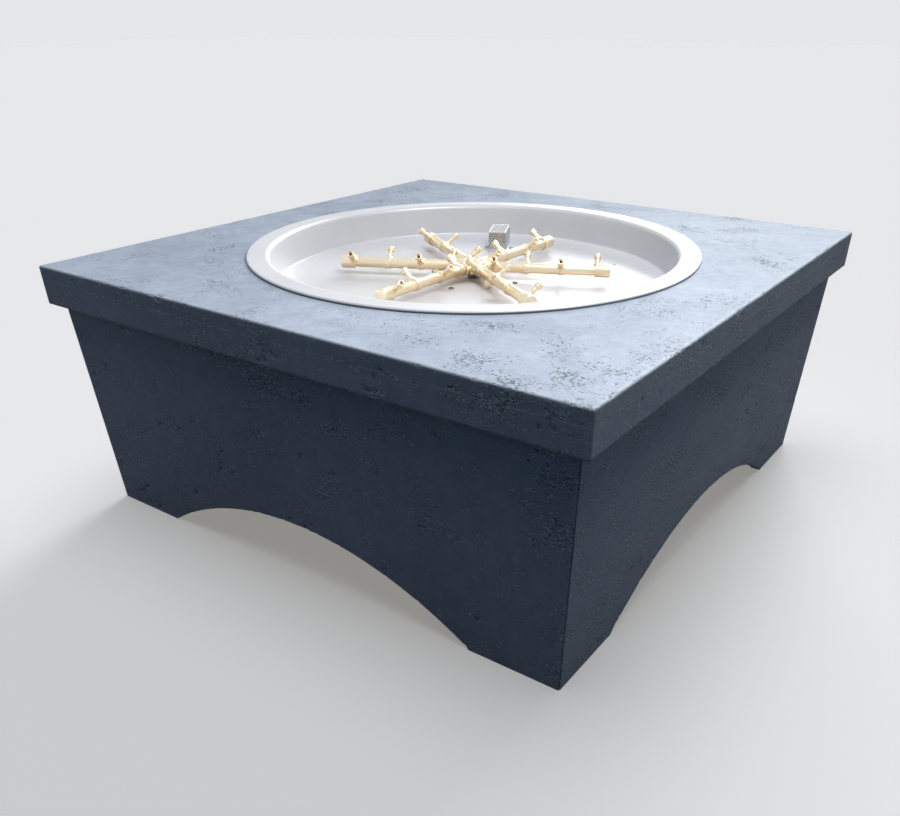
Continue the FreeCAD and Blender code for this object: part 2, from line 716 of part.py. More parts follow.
def jet(index):
    """Short angled tube with a wider open head."""
    foot = V(JET_STATIONS[index], 0, PIPE_Z)
    way = jet_direction(index)
    tube_end = foot + way * (JET_REACH - JET_HEAD_LENGTH / 2)
    tube = rod(foot + way * (PIPE_RADIUS + JET_ROOT_GAP), tube_end, JET_TUBE_RADIUS)
    head = rod(foot + way * (JET_REACH - JET_HEAD_LENGTH), foot + way * JET_REACH, JET_HEAD_RADIUS)
    rims = [edge for edge in head.Edges if edge.Closed and len(edge.Vertexes) == 1]
    head = head.makeChamfer(JET_HEAD_BEVEL, rims)
    whole = tube.fuse(head)
    whole = whole.cut(rod(foot, foot + way * (JET_REACH + OVER), JET_TUBE_BORE))
    mouth = foot + way * JET_REACH
    return whole.cut(rod(mouth - way * JET_HEAD_DEPTH, mouth + way * OVER, JET_HEAD_BORE))


def burner_leg():
    """Hexagonal leg between an arm and the pan floor."""
    foot = V(LEG_CIRCLE, 0, PAN_FLOOR)
    leg = hexagon(foot, V(LEG_CIRCLE, 0, PIPE_Z), LEG_FLATS)
    room = rod(V(0, 0, PIPE_Z), V(ARM_LENGTH, 0, PIPE_Z), PIPE_SOCKET)
    return leg.cut(room).Solids[0]


# ---------------------------------------------------------------- riser, elbow and mixer

def riser_nipple():
    """Pipe from the hub down through the pan and the bracket into the elbow."""
    return pipe(V(0, 0, ELBOW_TOP - THREAD_DEPTH), V(0, 0, PIPE_Z - RISER_STOP), PIPE_RADIUS, PIPE_BORE)


def ring_at(foot_z, height, outer, inner):
    """Flat ring on the riser."""
    return pipe(V(0, 0, foot_z), V(0, 0, foot_z + height), outer, inner)


def riser_nuts():
    """Round ring nut above the pan floor and a hexagonal locknut under the bracket."""
    foot = V(0, 0, PAN_FLOOR + WASHER_HEIGHT)
    ring = rod(foot, foot + Z_AXIS * LOCKNUT_HEIGHT, PIPE_RADIUS + RING_NUT_BAND)
    ring = ring.makeFillet(RING_NUT_ROUND, [edge for edge in ring.Edges if edge.BoundBox.ZLength < TINY])
    low = V(0, 0, LOWER_NUT_FOOT)
    lock = hexagon(low, low + Z_AXIS * LOCKNUT_HEIGHT, LOCKNUT_FLATS, LOCKNUT_TURN)
    bore = rod(low - Z_AXIS, V(0, 0, PIPE_Z), PIPE_SOCKET)
    return [ring.cut(bore), lock.cut(bore)]


def riser_washers():
    """Washer under each nut, a small one above the pan floor."""
    inner = PIPE_RADIUS + RISER_HOLE_CLEARANCE
    return [ring_at(PAN_FLOOR, WASHER_HEIGHT, PIPE_RADIUS + RING_WASHER_BAND, inner),
            ring_at(BRACKET_UNDER - WASHER_HEIGHT, WASHER_HEIGHT, PIPE_RADIUS + WASHER_BAND, inner)]


def riser_elbow():
    """Elbow that turns the riser towards the front."""
    corner = V(0, 0, ELBOW_Z)
    top = V(0, 0, ELBOW_TOP)
    front = V(0, -ELBOW_LEG, ELBOW_Z)
    body = rod(corner, top, ELBOW_RADIUS).fuse(rod(corner, front, ELBOW_RADIUS))
    body = body.fuse(Part.makeSphere(ELBOW_RADIUS, corner))
    bores = [rod(corner, top, PIPE_BORE), rod(corner, front, PIPE_BORE), Part.makeSphere(PIPE_BORE, corner),
             rod(top - Z_AXIS * THREAD_DEPTH, top + Z_AXIS, PIPE_SOCKET),
             rod(front + Y_AXIS * THREAD_DEPTH, front - Y_AXIS, PIPE_SOCKET)]
    return body.cut(bores)


def mixer_windows():
    """The two air windows, one on each side of the mixer."""
    middle_y = MIXER_START - MIXER_LENGTH / 2
    reach = MIXER_RADIUS * 2
    corner = V(-reach, middle_y - WINDOW_LENGTH / 2, ELBOW_Z - WINDOW_HALF_WIDTH)
    return Part.makeBox(reach * 2, WINDOW_LENGTH, WINDOW_HALF_WIDTH * 2, corner)


def mixer_body():
    """Air mixer: a hollow body with two collars, two windows and an orifice at its inlet."""
    start = V(0, MIXER_START, ELBOW_Z)
    end = V(0, MIXER_END, ELBOW_Z)
    body = rod(start, end, MIXER_RADIUS)
    for foot in (start, end + Y_AXIS * MIXER_COLLAR_WIDTH):
        body = body.fuse(rod(foot, foot - Y_AXIS * MIXER_COLLAR_WIDTH, MIXER_COLLAR))
    body = body.fuse(rod(start + Y_AXIS * (THREAD_DEPTH - OVER), start, PIPE_RADIUS))
    body = body.fuse(rod(end, end - Y_AXIS * MIXER_SPIGOT, HOSE_RADIUS))
    throat_end = end + Y_AXIS * MIXER_COLLAR_WIDTH
    cuts = [rod(start + Y_AXIS * THREAD_DEPTH, throat_end, PIPE_BORE),
            rod(throat_end, end - Y_AXIS * (MIXER_SPIGOT + OVER), ORIFICE_RADIUS),
            mixer_windows()]
    return body.cut(cuts).removeSplitter()


def air_shutter():
    """Sleeve between the mixer's collars, with matching windows and a finger tab."""
    inner = MIXER_RADIUS + SHUTTER_CLEARANCE
    outer = inner + SHUTTER_WALL
    start = V(0, MIXER_START - MIXER_COLLAR_WIDTH - SHUTTER_CLEARANCE, ELBOW_Z)
    end = V(0, MIXER_END + MIXER_COLLAR_WIDTH + SHUTTER_CLEARANCE, ELBOW_Z)
    sleeve = rod(start, end, outer)
    middle_y = (start.y + end.y) / 2
    corner = V(-TAB_WIDTH / 2, middle_y - TAB_LENGTH / 2, ELBOW_Z - outer - TAB_HEIGHT)
    tab = Part.makeBox(TAB_WIDTH, TAB_LENGTH, outer + TAB_HEIGHT, corner)
    sleeve = sleeve.fuse(tab)
    return sleeve.cut([rod(start + Y_AXIS, end - Y_AXIS, inner), mixer_windows()]).removeSplitter()


# ---------------------------------------------------------------- hose and gas train

def hose_points():
    """Hose route: level out of the mixer, then round to straight down over the valve."""
    points = [HOSE_START]
    runs = (HOSE_END_RUN, HOSE_MID_RUN, HOSE_MID_RUN, HOSE_END_RUN)
    for index, run in enumerate(runs):
        angle = math.radians(HOSE_STEP * index)
        points.append(points[-1] + V(0, -math.cos(angle), -math.sin(angle)) * run)
    return points


HOSE_FOOT = hose_points()[-1]
TRAIN_Y = HOSE_FOOT.y
VALVE_TOP = HOSE_FOOT.z - HOSE_NUT_LENGTH
VALVE_Z = VALVE_TOP - VALVE_HEIGHT / 2
VALVE_FOOT = VALVE_TOP - VALVE_HEIGHT
PLATE_BACK = TRAIN_Y - VALVE_DEPTH / 2 - VALVE_TO_PLATE
PLATE_FRONT = PLATE_BACK - BRACKET_SHEET
PLATE_FOOT = VALVE_FOOT + PLATE_RISE
BALL_TOP = VALVE_FOOT - NIPPLE_LENGTH / 2
BALL_FOOT = BALL_TOP - 2 * BALL_HEX_HEIGHT - BALL_BODY_HEIGHT
BALL_Z = (BALL_TOP + BALL_FOOT) / 2
LEVER_BACK = TRAIN_Y - BALL_BODY_RADIUS - LEVER_STANDOFF
LEVER_FRONT = LEVER_BACK - LEVER_SHEET


def hose_nuts():
    """Hexagonal nut on each end of the hose."""
    mixer_side = V(0, MIXER_END, ELBOW_Z)
    first = hexagon(mixer_side, HOSE_START, HOSE_NUT_FLATS)
    first = first.cut(rod(mixer_side + Y_AXIS, V(0, SPIGOT_END, ELBOW_Z), HOSE_RADIUS + PIPE_FIT))
    first = first.cut(rod(mixer_side, HOSE_START - Y_AXIS, HOSE_BORE))
    foot = V(0, TRAIN_Y, VALVE_TOP)
    second = hexagon(foot, HOSE_FOOT, HOSE_NUT_FLATS)
    second = second.cut(rod(foot - Z_AXIS, HOSE_FOOT + Z_AXIS, HOSE_BORE))
    return [first, second]


def safety_valve():
    """Valve block with a boss through the plate, a bore for the spindle and two rear ports."""
    low = V(-VALVE_WIDTH / 2, TRAIN_Y - VALVE_DEPTH / 2, VALVE_FOOT)
    block = Part.makeBox(VALVE_WIDTH, VALVE_DEPTH, VALVE_HEIGHT, low)
    block = block.makeChamfer(VALVE_BEVEL, [edge for edge in block.Edges if edge.BoundBox.ZLength > OVER])
    middle = V(0, TRAIN_Y, VALVE_Z)
    boss_end = V(0, PLATE_FRONT - VALVE_BOSS_PROUD, VALVE_Z)
    block = block.fuse(rod(middle, boss_end, VALVE_BOSS_RADIUS))
    for point, radius in valve_ports():
        block = block.fuse(rod(point - Y_AXIS * PORT_PROUD * 2, point, radius + PORT_WALL))
    bore_end = middle - Y_AXIS * SPINDLE_ROOT
    foot = V(0, TRAIN_Y, VALVE_FOOT)
    top = V(0, TRAIN_Y, VALVE_TOP)
    cuts = [rod(bore_end, boss_end - Y_AXIS, SPINDLE_RADIUS + STEM_CLEARANCE),
            rod(foot - Z_AXIS, foot + Z_AXIS * NIPPLE_LENGTH / 2, PIPE_SOCKET),
            rod(top - Z_AXIS * VALVE_OUTLET_DEPTH, top + Z_AXIS, HOSE_BORE)]
    return block.cut(cuts).removeSplitter()


def valve_ports():
    """Where the pilot tube and the sensor lead leave the back of the valve."""
    middle = V(0, TRAIN_Y + VALVE_DEPTH / 2 + PORT_PROUD, VALVE_Z + PORT_RISE)
    across = X_AXIS * PORT_SPREAD
    return [(middle - across, PILOT_TUBE_RADIUS), (middle + across, SENSOR_LEAD_RADIUS)]


def valve_spindle():
    """Round spindle from inside the valve into the knob."""
    start = V(0, TRAIN_Y - SPINDLE_ROOT - KNOB_PUSH - OVER, VALVE_Z)
    end = V(0, PLATE_FRONT - KNOB_GAP - KNOB_BORE_DEPTH, VALVE_Z)
    return rod(start, end, SPINDLE_RADIUS)


def valve_knob():
    """Fluted knob with a pointer rib, bored for the spindle."""
    back = V(0, PLATE_FRONT - KNOB_GAP, VALVE_Z)
    front = back - Y_AXIS * KNOB_DEPTH
    body = rod(back, front, KNOB_RADIUS)
    rim = edges_on(body, lambda p: abs(p.y - front.y) < TINY)
    body = body.makeFillet(KNOB_ROUND, rim)
    flutes = []
    for index in range(FLUTE_COUNT):
        angle = 2 * math.pi * (index + 0.5) / FLUTE_COUNT
        place = V(math.cos(angle), 0, math.sin(angle)) * (KNOB_RADIUS + FLUTE_SHALLOW)
        flutes.append(rod(back + place + Y_AXIS, front + place - Y_AXIS, FLUTE_RADIUS))
    body = body.cut(flutes)
    corner = V(-POINTER_WIDTH / 2, front.y - POINTER_PROUD, VALVE_Z - POINTER_LENGTH / 2)
    body = body.fuse(Part.makeBox(POINTER_WIDTH, POINTER_DEPTH, POINTER_LENGTH, corner))
    bore = rod(back + Y_AXIS, back - Y_AXIS * (KNOB_BORE_DEPTH + KNOB_FIT), SPINDLE_RADIUS + KNOB_FIT)
    return body.cut(bore).removeSplitter()


def valve_nipple():
    """Short pipe between the safety valve and the shutoff valve."""
    low = V(0, TRAIN_Y, BALL_TOP - NIPPLE_LENGTH / 2)
    high = V(0, TRAIN_Y, VALVE_FOOT + NIPPLE_LENGTH / 2)
    return pipe(low, high, PIPE_RADIUS, PIPE_BORE)


def shutoff_valve():
    """Ball valve body with a hexagonal end above and below and a boss for its stem."""
    low = V(0, TRAIN_Y, BALL_FOOT)
    high = V(0, TRAIN_Y, BALL_TOP)
    middle = V(0, TRAIN_Y, BALL_Z)
    body = rod(low + Z_AXIS * BALL_HEX_HEIGHT, high - Z_AXIS * BALL_HEX_HEIGHT, BALL_BODY_RADIUS)
    body = body.fuse(hexagon(low, low + Z_AXIS * BALL_HEX_HEIGHT, BALL_HEX_FLATS, 30))
    body = body.fuse(hexagon(high - Z_AXIS * BALL_HEX_HEIGHT, high, BALL_HEX_FLATS, 30))
    body = body.fuse(rod(middle, V(0, LEVER_BACK + LEVER_RUN_GAP, BALL_Z), BALL_BOSS_RADIUS))
    cuts = [rod(low - Z_AXIS, low + Z_AXIS * INLET_DEPTH, INLET_RADIUS),
            rod(low, high, BALL_BORE),
            rod(high - Z_AXIS * NIPPLE_LENGTH / 2, high + Z_AXIS, PIPE_SOCKET),
            rod(middle - Y_AXIS * STEM_ROOT, V(0, LEVER_BACK, BALL_Z), SPINDLE_RADIUS + STEM_CLEARANCE)]
    return body.cut(cuts).removeSplitter()


def shutoff_stem():
    """Stem with a ball-side foot, through the lever to its nut."""
    start = V(0, TRAIN_Y - STEM_ROOT - STEM_CLEARANCE, BALL_Z)
    end = V(0, LEVER_FRONT - STEM_PROUD, BALL_Z)
    return rod(start, end, SPINDLE_RADIUS)


def lever_outline(start_x, half, back, front):
    """Flat bar along +X with a round end, between two planes of constant Y."""
    corner = V(start_x, front, BALL_Z - half)
    bar = Part.makeBox(LEVER_LENGTH - start_x, back - front, 2 * half, corner)
    end = rod(V(LEVER_LENGTH, back, BALL_Z), V(LEVER_LENGTH, front, BALL_Z), half)
    return bar.fuse(end).removeSplitter()


def shutoff_lever():
    """Flat handle with a round eye; it points along +X when the gas is off."""
    lever = lever_outline(0, LEVER_WIDTH / 2, LEVER_BACK, LEVER_FRONT)
    stem_line = V(0, LEVER_BACK, BALL_Z)
    eye = rod(stem_line, V(0, LEVER_FRONT, BALL_Z), LEVER_WIDTH / 2)
    bore = rod(stem_line + Y_AXIS, stem_line - Y_AXIS * (LEVER_SHEET + OVER), SPINDLE_RADIUS)
    return lever.fuse(eye).cut(bore).removeSplitter()


def lever_sleeve():
    """Dipped plastic grip over the far end of the lever."""
    start_x = LEVER_LENGTH + LEVER_WIDTH / 2 - SLEEVE_LENGTH
    half = LEVER_WIDTH / 2 + SLEEVE_WALL
    body = lever_outline(start_x, half, LEVER_BACK + SLEEVE_WALL, LEVER_FRONT - SLEEVE_WALL)
    rims = [edge for edge in body.Edges
            if edge.BoundBox.YLength < TINY and edge.BoundBox.XMin > start_x - TINY
            and edge.BoundBox.XLength > TINY]
    body = body.makeFillet(SLEEVE_ROUND, rims)
    return body.cut(lever_outline(start_x - OVER, LEVER_WIDTH / 2, LEVER_BACK, LEVER_FRONT))


def lever_nut():
    """Nut that holds the lever on its stem."""
    start = V(0, LEVER_FRONT, BALL_Z)
    end = start - Y_AXIS * LEVER_NUT_HEIGHT
    return hexagon(start, end, LEVER_NUT_FLATS).cut(rod(start + Y_AXIS, end - Y_AXIS, SPINDLE_RADIUS))


# ---------------------------------------------------------------- control bracket and igniter

IGNITER_FRONT = V(IGNITER_X, PLATE_FRONT, VALVE_Z)
IGNITER_BACK = IGNITER_FRONT + Y_AXIS * IGNITER_LENGTH


def control_bracket():
    """Sheet bolted under the pan and bent down in front, with a stiffening wing at each side."""
    width = 2 * BRACKET_HALF_WIDTH
    drop = PAN_UNDER - PLATE_FOOT
    corner = V(-BRACKET_HALF_WIDTH, PLATE_FRONT, PLATE_FOOT)
    body = Part.makeBox(width, BRACKET_SHEET, drop, corner)
    under = V(-BRACKET_HALF_WIDTH, PLATE_FRONT, BRACKET_UNDER)
    body = body.fuse(Part.makeBox(width, BRACKET_BACK - PLATE_FRONT, BRACKET_SHEET, under))
    for across in (0, width - BRACKET_SHEET):
        body = body.fuse(Part.makeBox(BRACKET_SHEET, BRACKET_WING, drop, corner + X_AXIS * across))
    body = body.removeSplitter()
    bend = edges_on(body, lambda p: abs(p.y - PLATE_FRONT) < TINY and abs(p.z - PAN_UNDER) < TINY)
    body = body.makeFillet(BEND_ROUND, bend)
    cuts = [upright_hole(V(0, 0, 0), PIPE_RADIUS + RISER_HOLE_CLEARANCE)]
    cuts += [upright_hole(point, BOLT_RADIUS + SCREW_CLEARANCE) for point in bolt_points()]
    for middle, radius in ((V(0, PLATE_FRONT, VALVE_Z), VALVE_BOSS_RADIUS), (IGNITER_FRONT, IGNITER_RADIUS)):
        through = Y_AXIS * (BRACKET_SHEET + OVER)
        cuts.append(rod(middle - Y_AXIS, middle + through, radius + PLATE_CLEARANCE))
    return body.cut(cuts)


def bracket_bolts():
    """Round-headed bolts on the pan floor that hold the bracket."""
    bolts = []
    for point in bolt_points():
        seat = V(point.x, point.y, PAN_FLOOR)
        head = rod(seat, seat + Z_AXIS * BOLT_HEAD_HEIGHT, BOLT_HEAD_RADIUS)
        rim = edges_on(head, lambda p: abs(p.z - seat.z - BOLT_HEAD_HEIGHT) < TINY)
        head = head.makeFillet(BOLT_DOME, rim)
        bolts.append(head.fuse(rod(seat, seat - Z_AXIS * BOLT_LENGTH, BOLT_RADIUS)).removeSplitter())
    return bolts


def bracket_nuts():
    """Nut on each bracket bolt."""
    nuts = []
    for point in bolt_points():
        high = V(point.x, point.y, BRACKET_UNDER)
        low = high - Z_AXIS * BOLT_NUT_HEIGHT
        bore = rod(low - Z_AXIS, high + Z_AXIS, BOLT_RADIUS + NUT_FIT)
        nuts.append(hexagon(low, high, BOLT_NUT_FLATS).cut(bore))
    return nuts


def igniter_body():
    """Hollow igniter case through the plate, with a bezel in front."""
    start = IGNITER_FRONT - Y_AXIS * BEZEL_DEPTH
    body = rod(start, IGNITER_FRONT, BEZEL_RADIUS)
    body = body.makeFillet(RIM_ROUND, edges_on(body, lambda p: abs(p.y - start.y) < TINY))
    body = body.fuse(rod(start, IGNITER_BACK, IGNITER_RADIUS))
    hollow = rod(start - Y_AXIS, IGNITER_BACK - Y_AXIS * IGNITER_WALL * 2, BUTTON_RADIUS + BUTTON_CLEARANCE)
    return body.cut(hollow).removeSplitter()


def igniter_nut():
    """Nut that clamps the igniter behind the plate."""
    start = V(IGNITER_X, PLATE_BACK, VALVE_Z)
    end = start + Y_AXIS * IGNITER_NUT_HEIGHT
    bore = rod(start - Y_AXIS, end + Y_AXIS, IGNITER_RADIUS + PIPE_FIT)
    return hexagon(start, end, IGNITER_NUT_FLATS).cut(bore)


def spark_button():
    """Round push button in the igniter's mouth."""
    front = IGNITER_FRONT - Y_AXIS * (BEZEL_DEPTH + BUTTON_PROUD)
    body = rod(front, front + Y_AXIS * BUTTON_LENGTH, BUTTON_RADIUS)
    return body.makeFillet(RIM_ROUND, edges_on(body, lambda p: abs(p.y - front.y) < TINY))


def igniter_battery():
    """Battery cell at the back of the igniter case."""
    end = IGNITER_BACK - Y_AXIS * IGNITER_WALL * 2
    start = end - Y_AXIS * BATTERY_LENGTH
    return rod(start, end, BATTERY_RADIUS)


# ---------------------------------------------------------------- pilot

PILOT_MIDDLE = V(PILOT_CIRCLE * math.cos(math.radians(PILOT_ANGLE)),
                 PILOT_CIRCLE * math.sin(math.radians(PILOT_ANGLE)), PAN_FLOOR)
EAR_SCREW_REACH = CAGE_WIDTH / 2 + EAR_LENGTH * EAR_SCREW_SHARE


def pilot_place(across, along, height):
    """Point in the cage's own frame, turned and moved to its place on the pan floor."""
    return PILOT_MIDDLE + FreeCAD.Rotation(Z_AXIS, PILOT_TURN).multVec(V(across, along, height))


def placed(shape):
    """Shape made in the cage's own frame, moved to its place."""
    copy = shape.copy()
    copy.rotate(V(0, 0, 0), Z_AXIS, PILOT_TURN)
    copy.translate(PILOT_MIDDLE)
    return copy


def pilot_lines():
    """Where the pilot tube, the spark lead and the sensor lead pass the pan floor."""
    return [(pilot_place(0, 0, 0), PILOT_TUBE_RADIUS),
            (pilot_place(0, PILOT_SPACING, 0), SPARK_LEAD_RADIUS),
            (pilot_place(0, -PILOT_SPACING, 0), SENSOR_LEAD_RADIUS)]


def ear_points():
    """Screw points in the two ears of the pilot base."""
    return [pilot_place(-EAR_SCREW_REACH, 0, 0), pilot_place(EAR_SCREW_REACH, 0, 0)]


def pilot_base():
    """Thin plate under the cage with an ear at each side."""
    long_side = CAGE_LENGTH - 2 * CAGE_SHEET - 2 * BASE_MARGIN
    wide_side = CAGE_WIDTH - 2 * CAGE_SHEET - 2 * BASE_MARGIN
    plate = Part.makeBox(wide_side, long_side, BASE_SHEET, V(-wide_side / 2, -long_side / 2, 0))
    ear_span = CAGE_WIDTH + 2 * EAR_LENGTH
    plate = plate.fuse(Part.makeBox(ear_span, EAR_WIDTH, BASE_SHEET, V(-ear_span / 2, -EAR_WIDTH / 2, 0)))
    drills = [(0, 0, PILOT_TUBE_RADIUS + LINE_FIT), (0, PILOT_SPACING, SPARK_LEAD_RADIUS + LINE_FIT),
              (0, -PILOT_SPACING, SENSOR_LEAD_RADIUS + LINE_FIT),
              (-EAR_SCREW_REACH, 0, SCREW_RADIUS + SCREW_CLEARANCE),
              (EAR_SCREW_REACH, 0, SCREW_RADIUS + SCREW_CLEARANCE)]
    cuts = [rod(V(x, y, -OVER), V(x, y, BASE_SHEET + OVER), radius) for x, y, radius in drills]
    return placed(plate.cut(cuts).removeSplitter())


def centred_box(width, length, height, foot_z):
    """Box centred in plan, standing at a height."""
    return Part.makeBox(width, length, height, V(-width / 2, -length / 2, foot_z))


def row_places(reach, shifted):
    """Centres of a row of holes that fits in a width, every other row moved by half a pitch."""
    count = int((reach - 2 * CAGE_MARGIN) / CAGE_PITCH)
    first = -(count - 0.5) * CAGE_PITCH / 2 + (CAGE_PITCH / 2 if shifted else 0)
    return [first + CAGE_PITCH * index for index in range(count)]


def pilot_cage():
    """Perforated box, open below, that stands over the pilot on the pan floor."""
    outer = centred_box(CAGE_WIDTH, CAGE_LENGTH, CAGE_HEIGHT, 0)
    outer = outer.makeFillet(CAGE_ROUND, [edge for edge in outer.Edges if edge.BoundBox.ZLength > OVER])
    inner_width = CAGE_WIDTH - 2 * CAGE_SHEET
    inner_length = CAGE_LENGTH - 2 * CAGE_SHEET
    cage = outer.cut(centred_box(inner_width, inner_length, CAGE_HEIGHT - CAGE_SHEET + OVER, -OVER))
    cage = cage.cut(centred_box(CAGE_WIDTH + OVER, EAR_WIDTH + OVER, BASE_SHEET + OVER, -OVER + EAR_GAP))
    drills = []
    rows = int((CAGE_HEIGHT - 2 * CAGE_SHEET - CAGE_MARGIN) / CAGE_ROW_STEP)
    for row in range(rows):
        height = CAGE_FIRST_ROW + row * CAGE_ROW_STEP
        for y in row_places(CAGE_LENGTH, row % 2):
            drills.append(rod(V(-CAGE_WIDTH, y, height), V(CAGE_WIDTH, y, height), CAGE_HOLE_RADIUS))
        for x in row_places(CAGE_WIDTH, row % 2):
            drills.append(rod(V(x, -CAGE_LENGTH, height), V(x, CAGE_LENGTH, height), CAGE_HOLE_RADIUS))
    for rank, x in enumerate(row_places(CAGE_WIDTH - CAGE_PITCH / 2, False)):
        for y in row_places(CAGE_LENGTH, rank % 2):
            drills.append(rod(V(x, y, CAGE_HEIGHT / 2), V(x, y, CAGE_HEIGHT + OVER), CAGE_HOLE_RADIUS))
    return placed(cage.cut(drills))


def post(place_y, low, high, radius):
    """Upright cylinder on the cage's long axis."""
    return rod(V(0, place_y, low), V(0, place_y, high), radius)


def pilot_burner():
    """Pilot burner: a hexagonal foot, a stem and a slotted hood."""
    body = post(0, BASE_SHEET, PILOT_STEM_TOP, PILOT_STEM_RADIUS)
    body = body.fuse(hexagon(V(0, 0, BASE_SHEET), V(0, 0, PILOT_NUT_TOP), PILOT_NUT_FLATS))
    body = body.fuse(post(0, PILOT_HOOD_FOOT, PILOT_HOOD_TOP, PILOT_HOOD_RADIUS))
    slot = centred_box(PILOT_HOOD_RADIUS * 3, PILOT_SLOT_WIDTH, PILOT_SLOT_HEIGHT, PILOT_SLOT_FOOT)
    bore = post(0, 0, PILOT_SLOT_FOOT + PILOT_SLOT_HEIGHT, PILOT_BORE)
    return placed(body.cut([bore, slot]).removeSplitter())


def spark_electrode():
    """Ceramic body with a thin bent wire towards the pilot's hood."""
    ceramic = post(PILOT_SPACING, BASE_SHEET, ELECTRODE_TOP, ELECTRODE_RADIUS)
    wire = post(PILOT_SPACING, ELECTRODE_TOP - OVER, SPARK_WIRE_TOP, SPARK_WIRE_RADIUS)
    knee = V(0, PILOT_SPACING, SPARK_WIRE_TOP)
    tip = rod(knee, V(0, PILOT_HOOD_RADIUS + SPARK_GAP, SPARK_TIP_TOP), SPARK_WIRE_RADIUS)
    return placed(ceramic.fuse([wire, tip, Part.makeSphere(SPARK_WIRE_RADIUS, knee)]).removeSplitter())


def flame_sensor():
    """Thermocouple tip on the other side of the pilot."""
    body = post(-PILOT_SPACING, BASE_SHEET, SENSOR_BODY_TOP, SENSOR_BODY_RADIUS)
    tip = post(-PILOT_SPACING, SENSOR_BODY_TOP - OVER, SENSOR_TIP_TOP, SENSOR_TIP_RADIUS)
    dome = Part.makeSphere(SENSOR_TIP_RADIUS, V(0, -PILOT_SPACING, SENSOR_TIP_TOP))
    return placed(body.fuse([tip, dome]).removeSplitter())


def ear_screws():
    """Screws through the ears into the pan floor."""
    screws = []
    for point in ear_points():
        seat = V(point.x, point.y, PAN_FLOOR + BASE_SHEET)
        screws.append(pan_screw(seat, V(0, 0, -1), EAR_SCREW_LENGTH))
    return screws


def below_pan(places):
    """Points given by X, Y and their drop below the pan floor."""
    return [V(x, y, PAN_FLOOR - drop) for x, y, drop in places]


def rise_into_pilot(line, steps):
    """Foot of one of the pilot's pieces, and the points under it: shifts in X, Y and the drop."""
    hole = pilot_lines()[line][0]
    points = below_pan([(hole.x + x, hole.y + y, drop) for x, y, drop in steps])
    return points + [V(hole.x, hole.y, PAN_FLOOR + BASE_SHEET)]


def pilot_tube():
    """Metal tube from the valve's rear port, under the pan, up into the pilot burner."""
    start = valve_ports()[0][0]
    points = [start, start + Y_AXIS * 40]
    points += below_pan([(-26, -95, 153), (-44, -28, 123), (-60, 42, 105), (-75, 112, 101)])
    points += rise_into_pilot(0, [(14, -66, 97), (4, -18, 79), (0, 0, 43)])
    return swept_tube("pilot_tube", points, PILOT_TUBE_RADIUS)


def sensor_lead():
    """Thin metal lead from the valve's second port to the flame sensor."""
    start = valve_ports()[1][0]
    points = [start, start + Y_AXIS * 34]
    points += below_pan([(-4, -118, 161), (-26, -78, 135), (-42, -36, 108), (-54, 6, 91), (-65, 48, 83),
                         (-74, 92, 79), (-82, 136, 77)])
    points += rise_into_pilot(2, [(12, -50, 73), (3, -14, 59), (0, 0, 33)])
    return swept_tube("sensor_lead", points, SENSOR_LEAD_RADIUS)


def spark_lead():
    """Insulated lead from the back of the igniter to the electrode."""
    points = [IGNITER_BACK, IGNITER_BACK + Y_AXIS * 36]
    points += below_pan([(-66, -112, 177), (-78, -60, 159), (-90, -4, 145), (-100, 54, 137),
                         (-108, 114, 133), (-114, 172, 131)])
    points += rise_into_pilot(1, [(6, -52, 123), (1, -12, 101), (0, 0, 61)])
    return swept_tube("spark_lead", points, SPARK_LEAD_RADIUS)


# ---------------------------------------------------------------- write every piece

def save(name, shape):
    """Write one node, as a compound where it holds several solids."""
    solids = []
    for piece in (shape if isinstance(shape, list) else [shape]):
        solids += piece.Solids
    whole = solids[0] if len(solids) == 1 else Part.makeCompound(solids)
    good = all(solid.isValid() and solid.isClosed() and solid.Volume > 0 for solid in solids)
    whole.exportStep(os.path.join("parts", name + ".step"))
    volume = sum(solid.Volume for solid in solids)
    print(f"{name}: {len(solids)} solid(s), {volume:.0f} mm3, {'ok' if good else 'BAD'}")


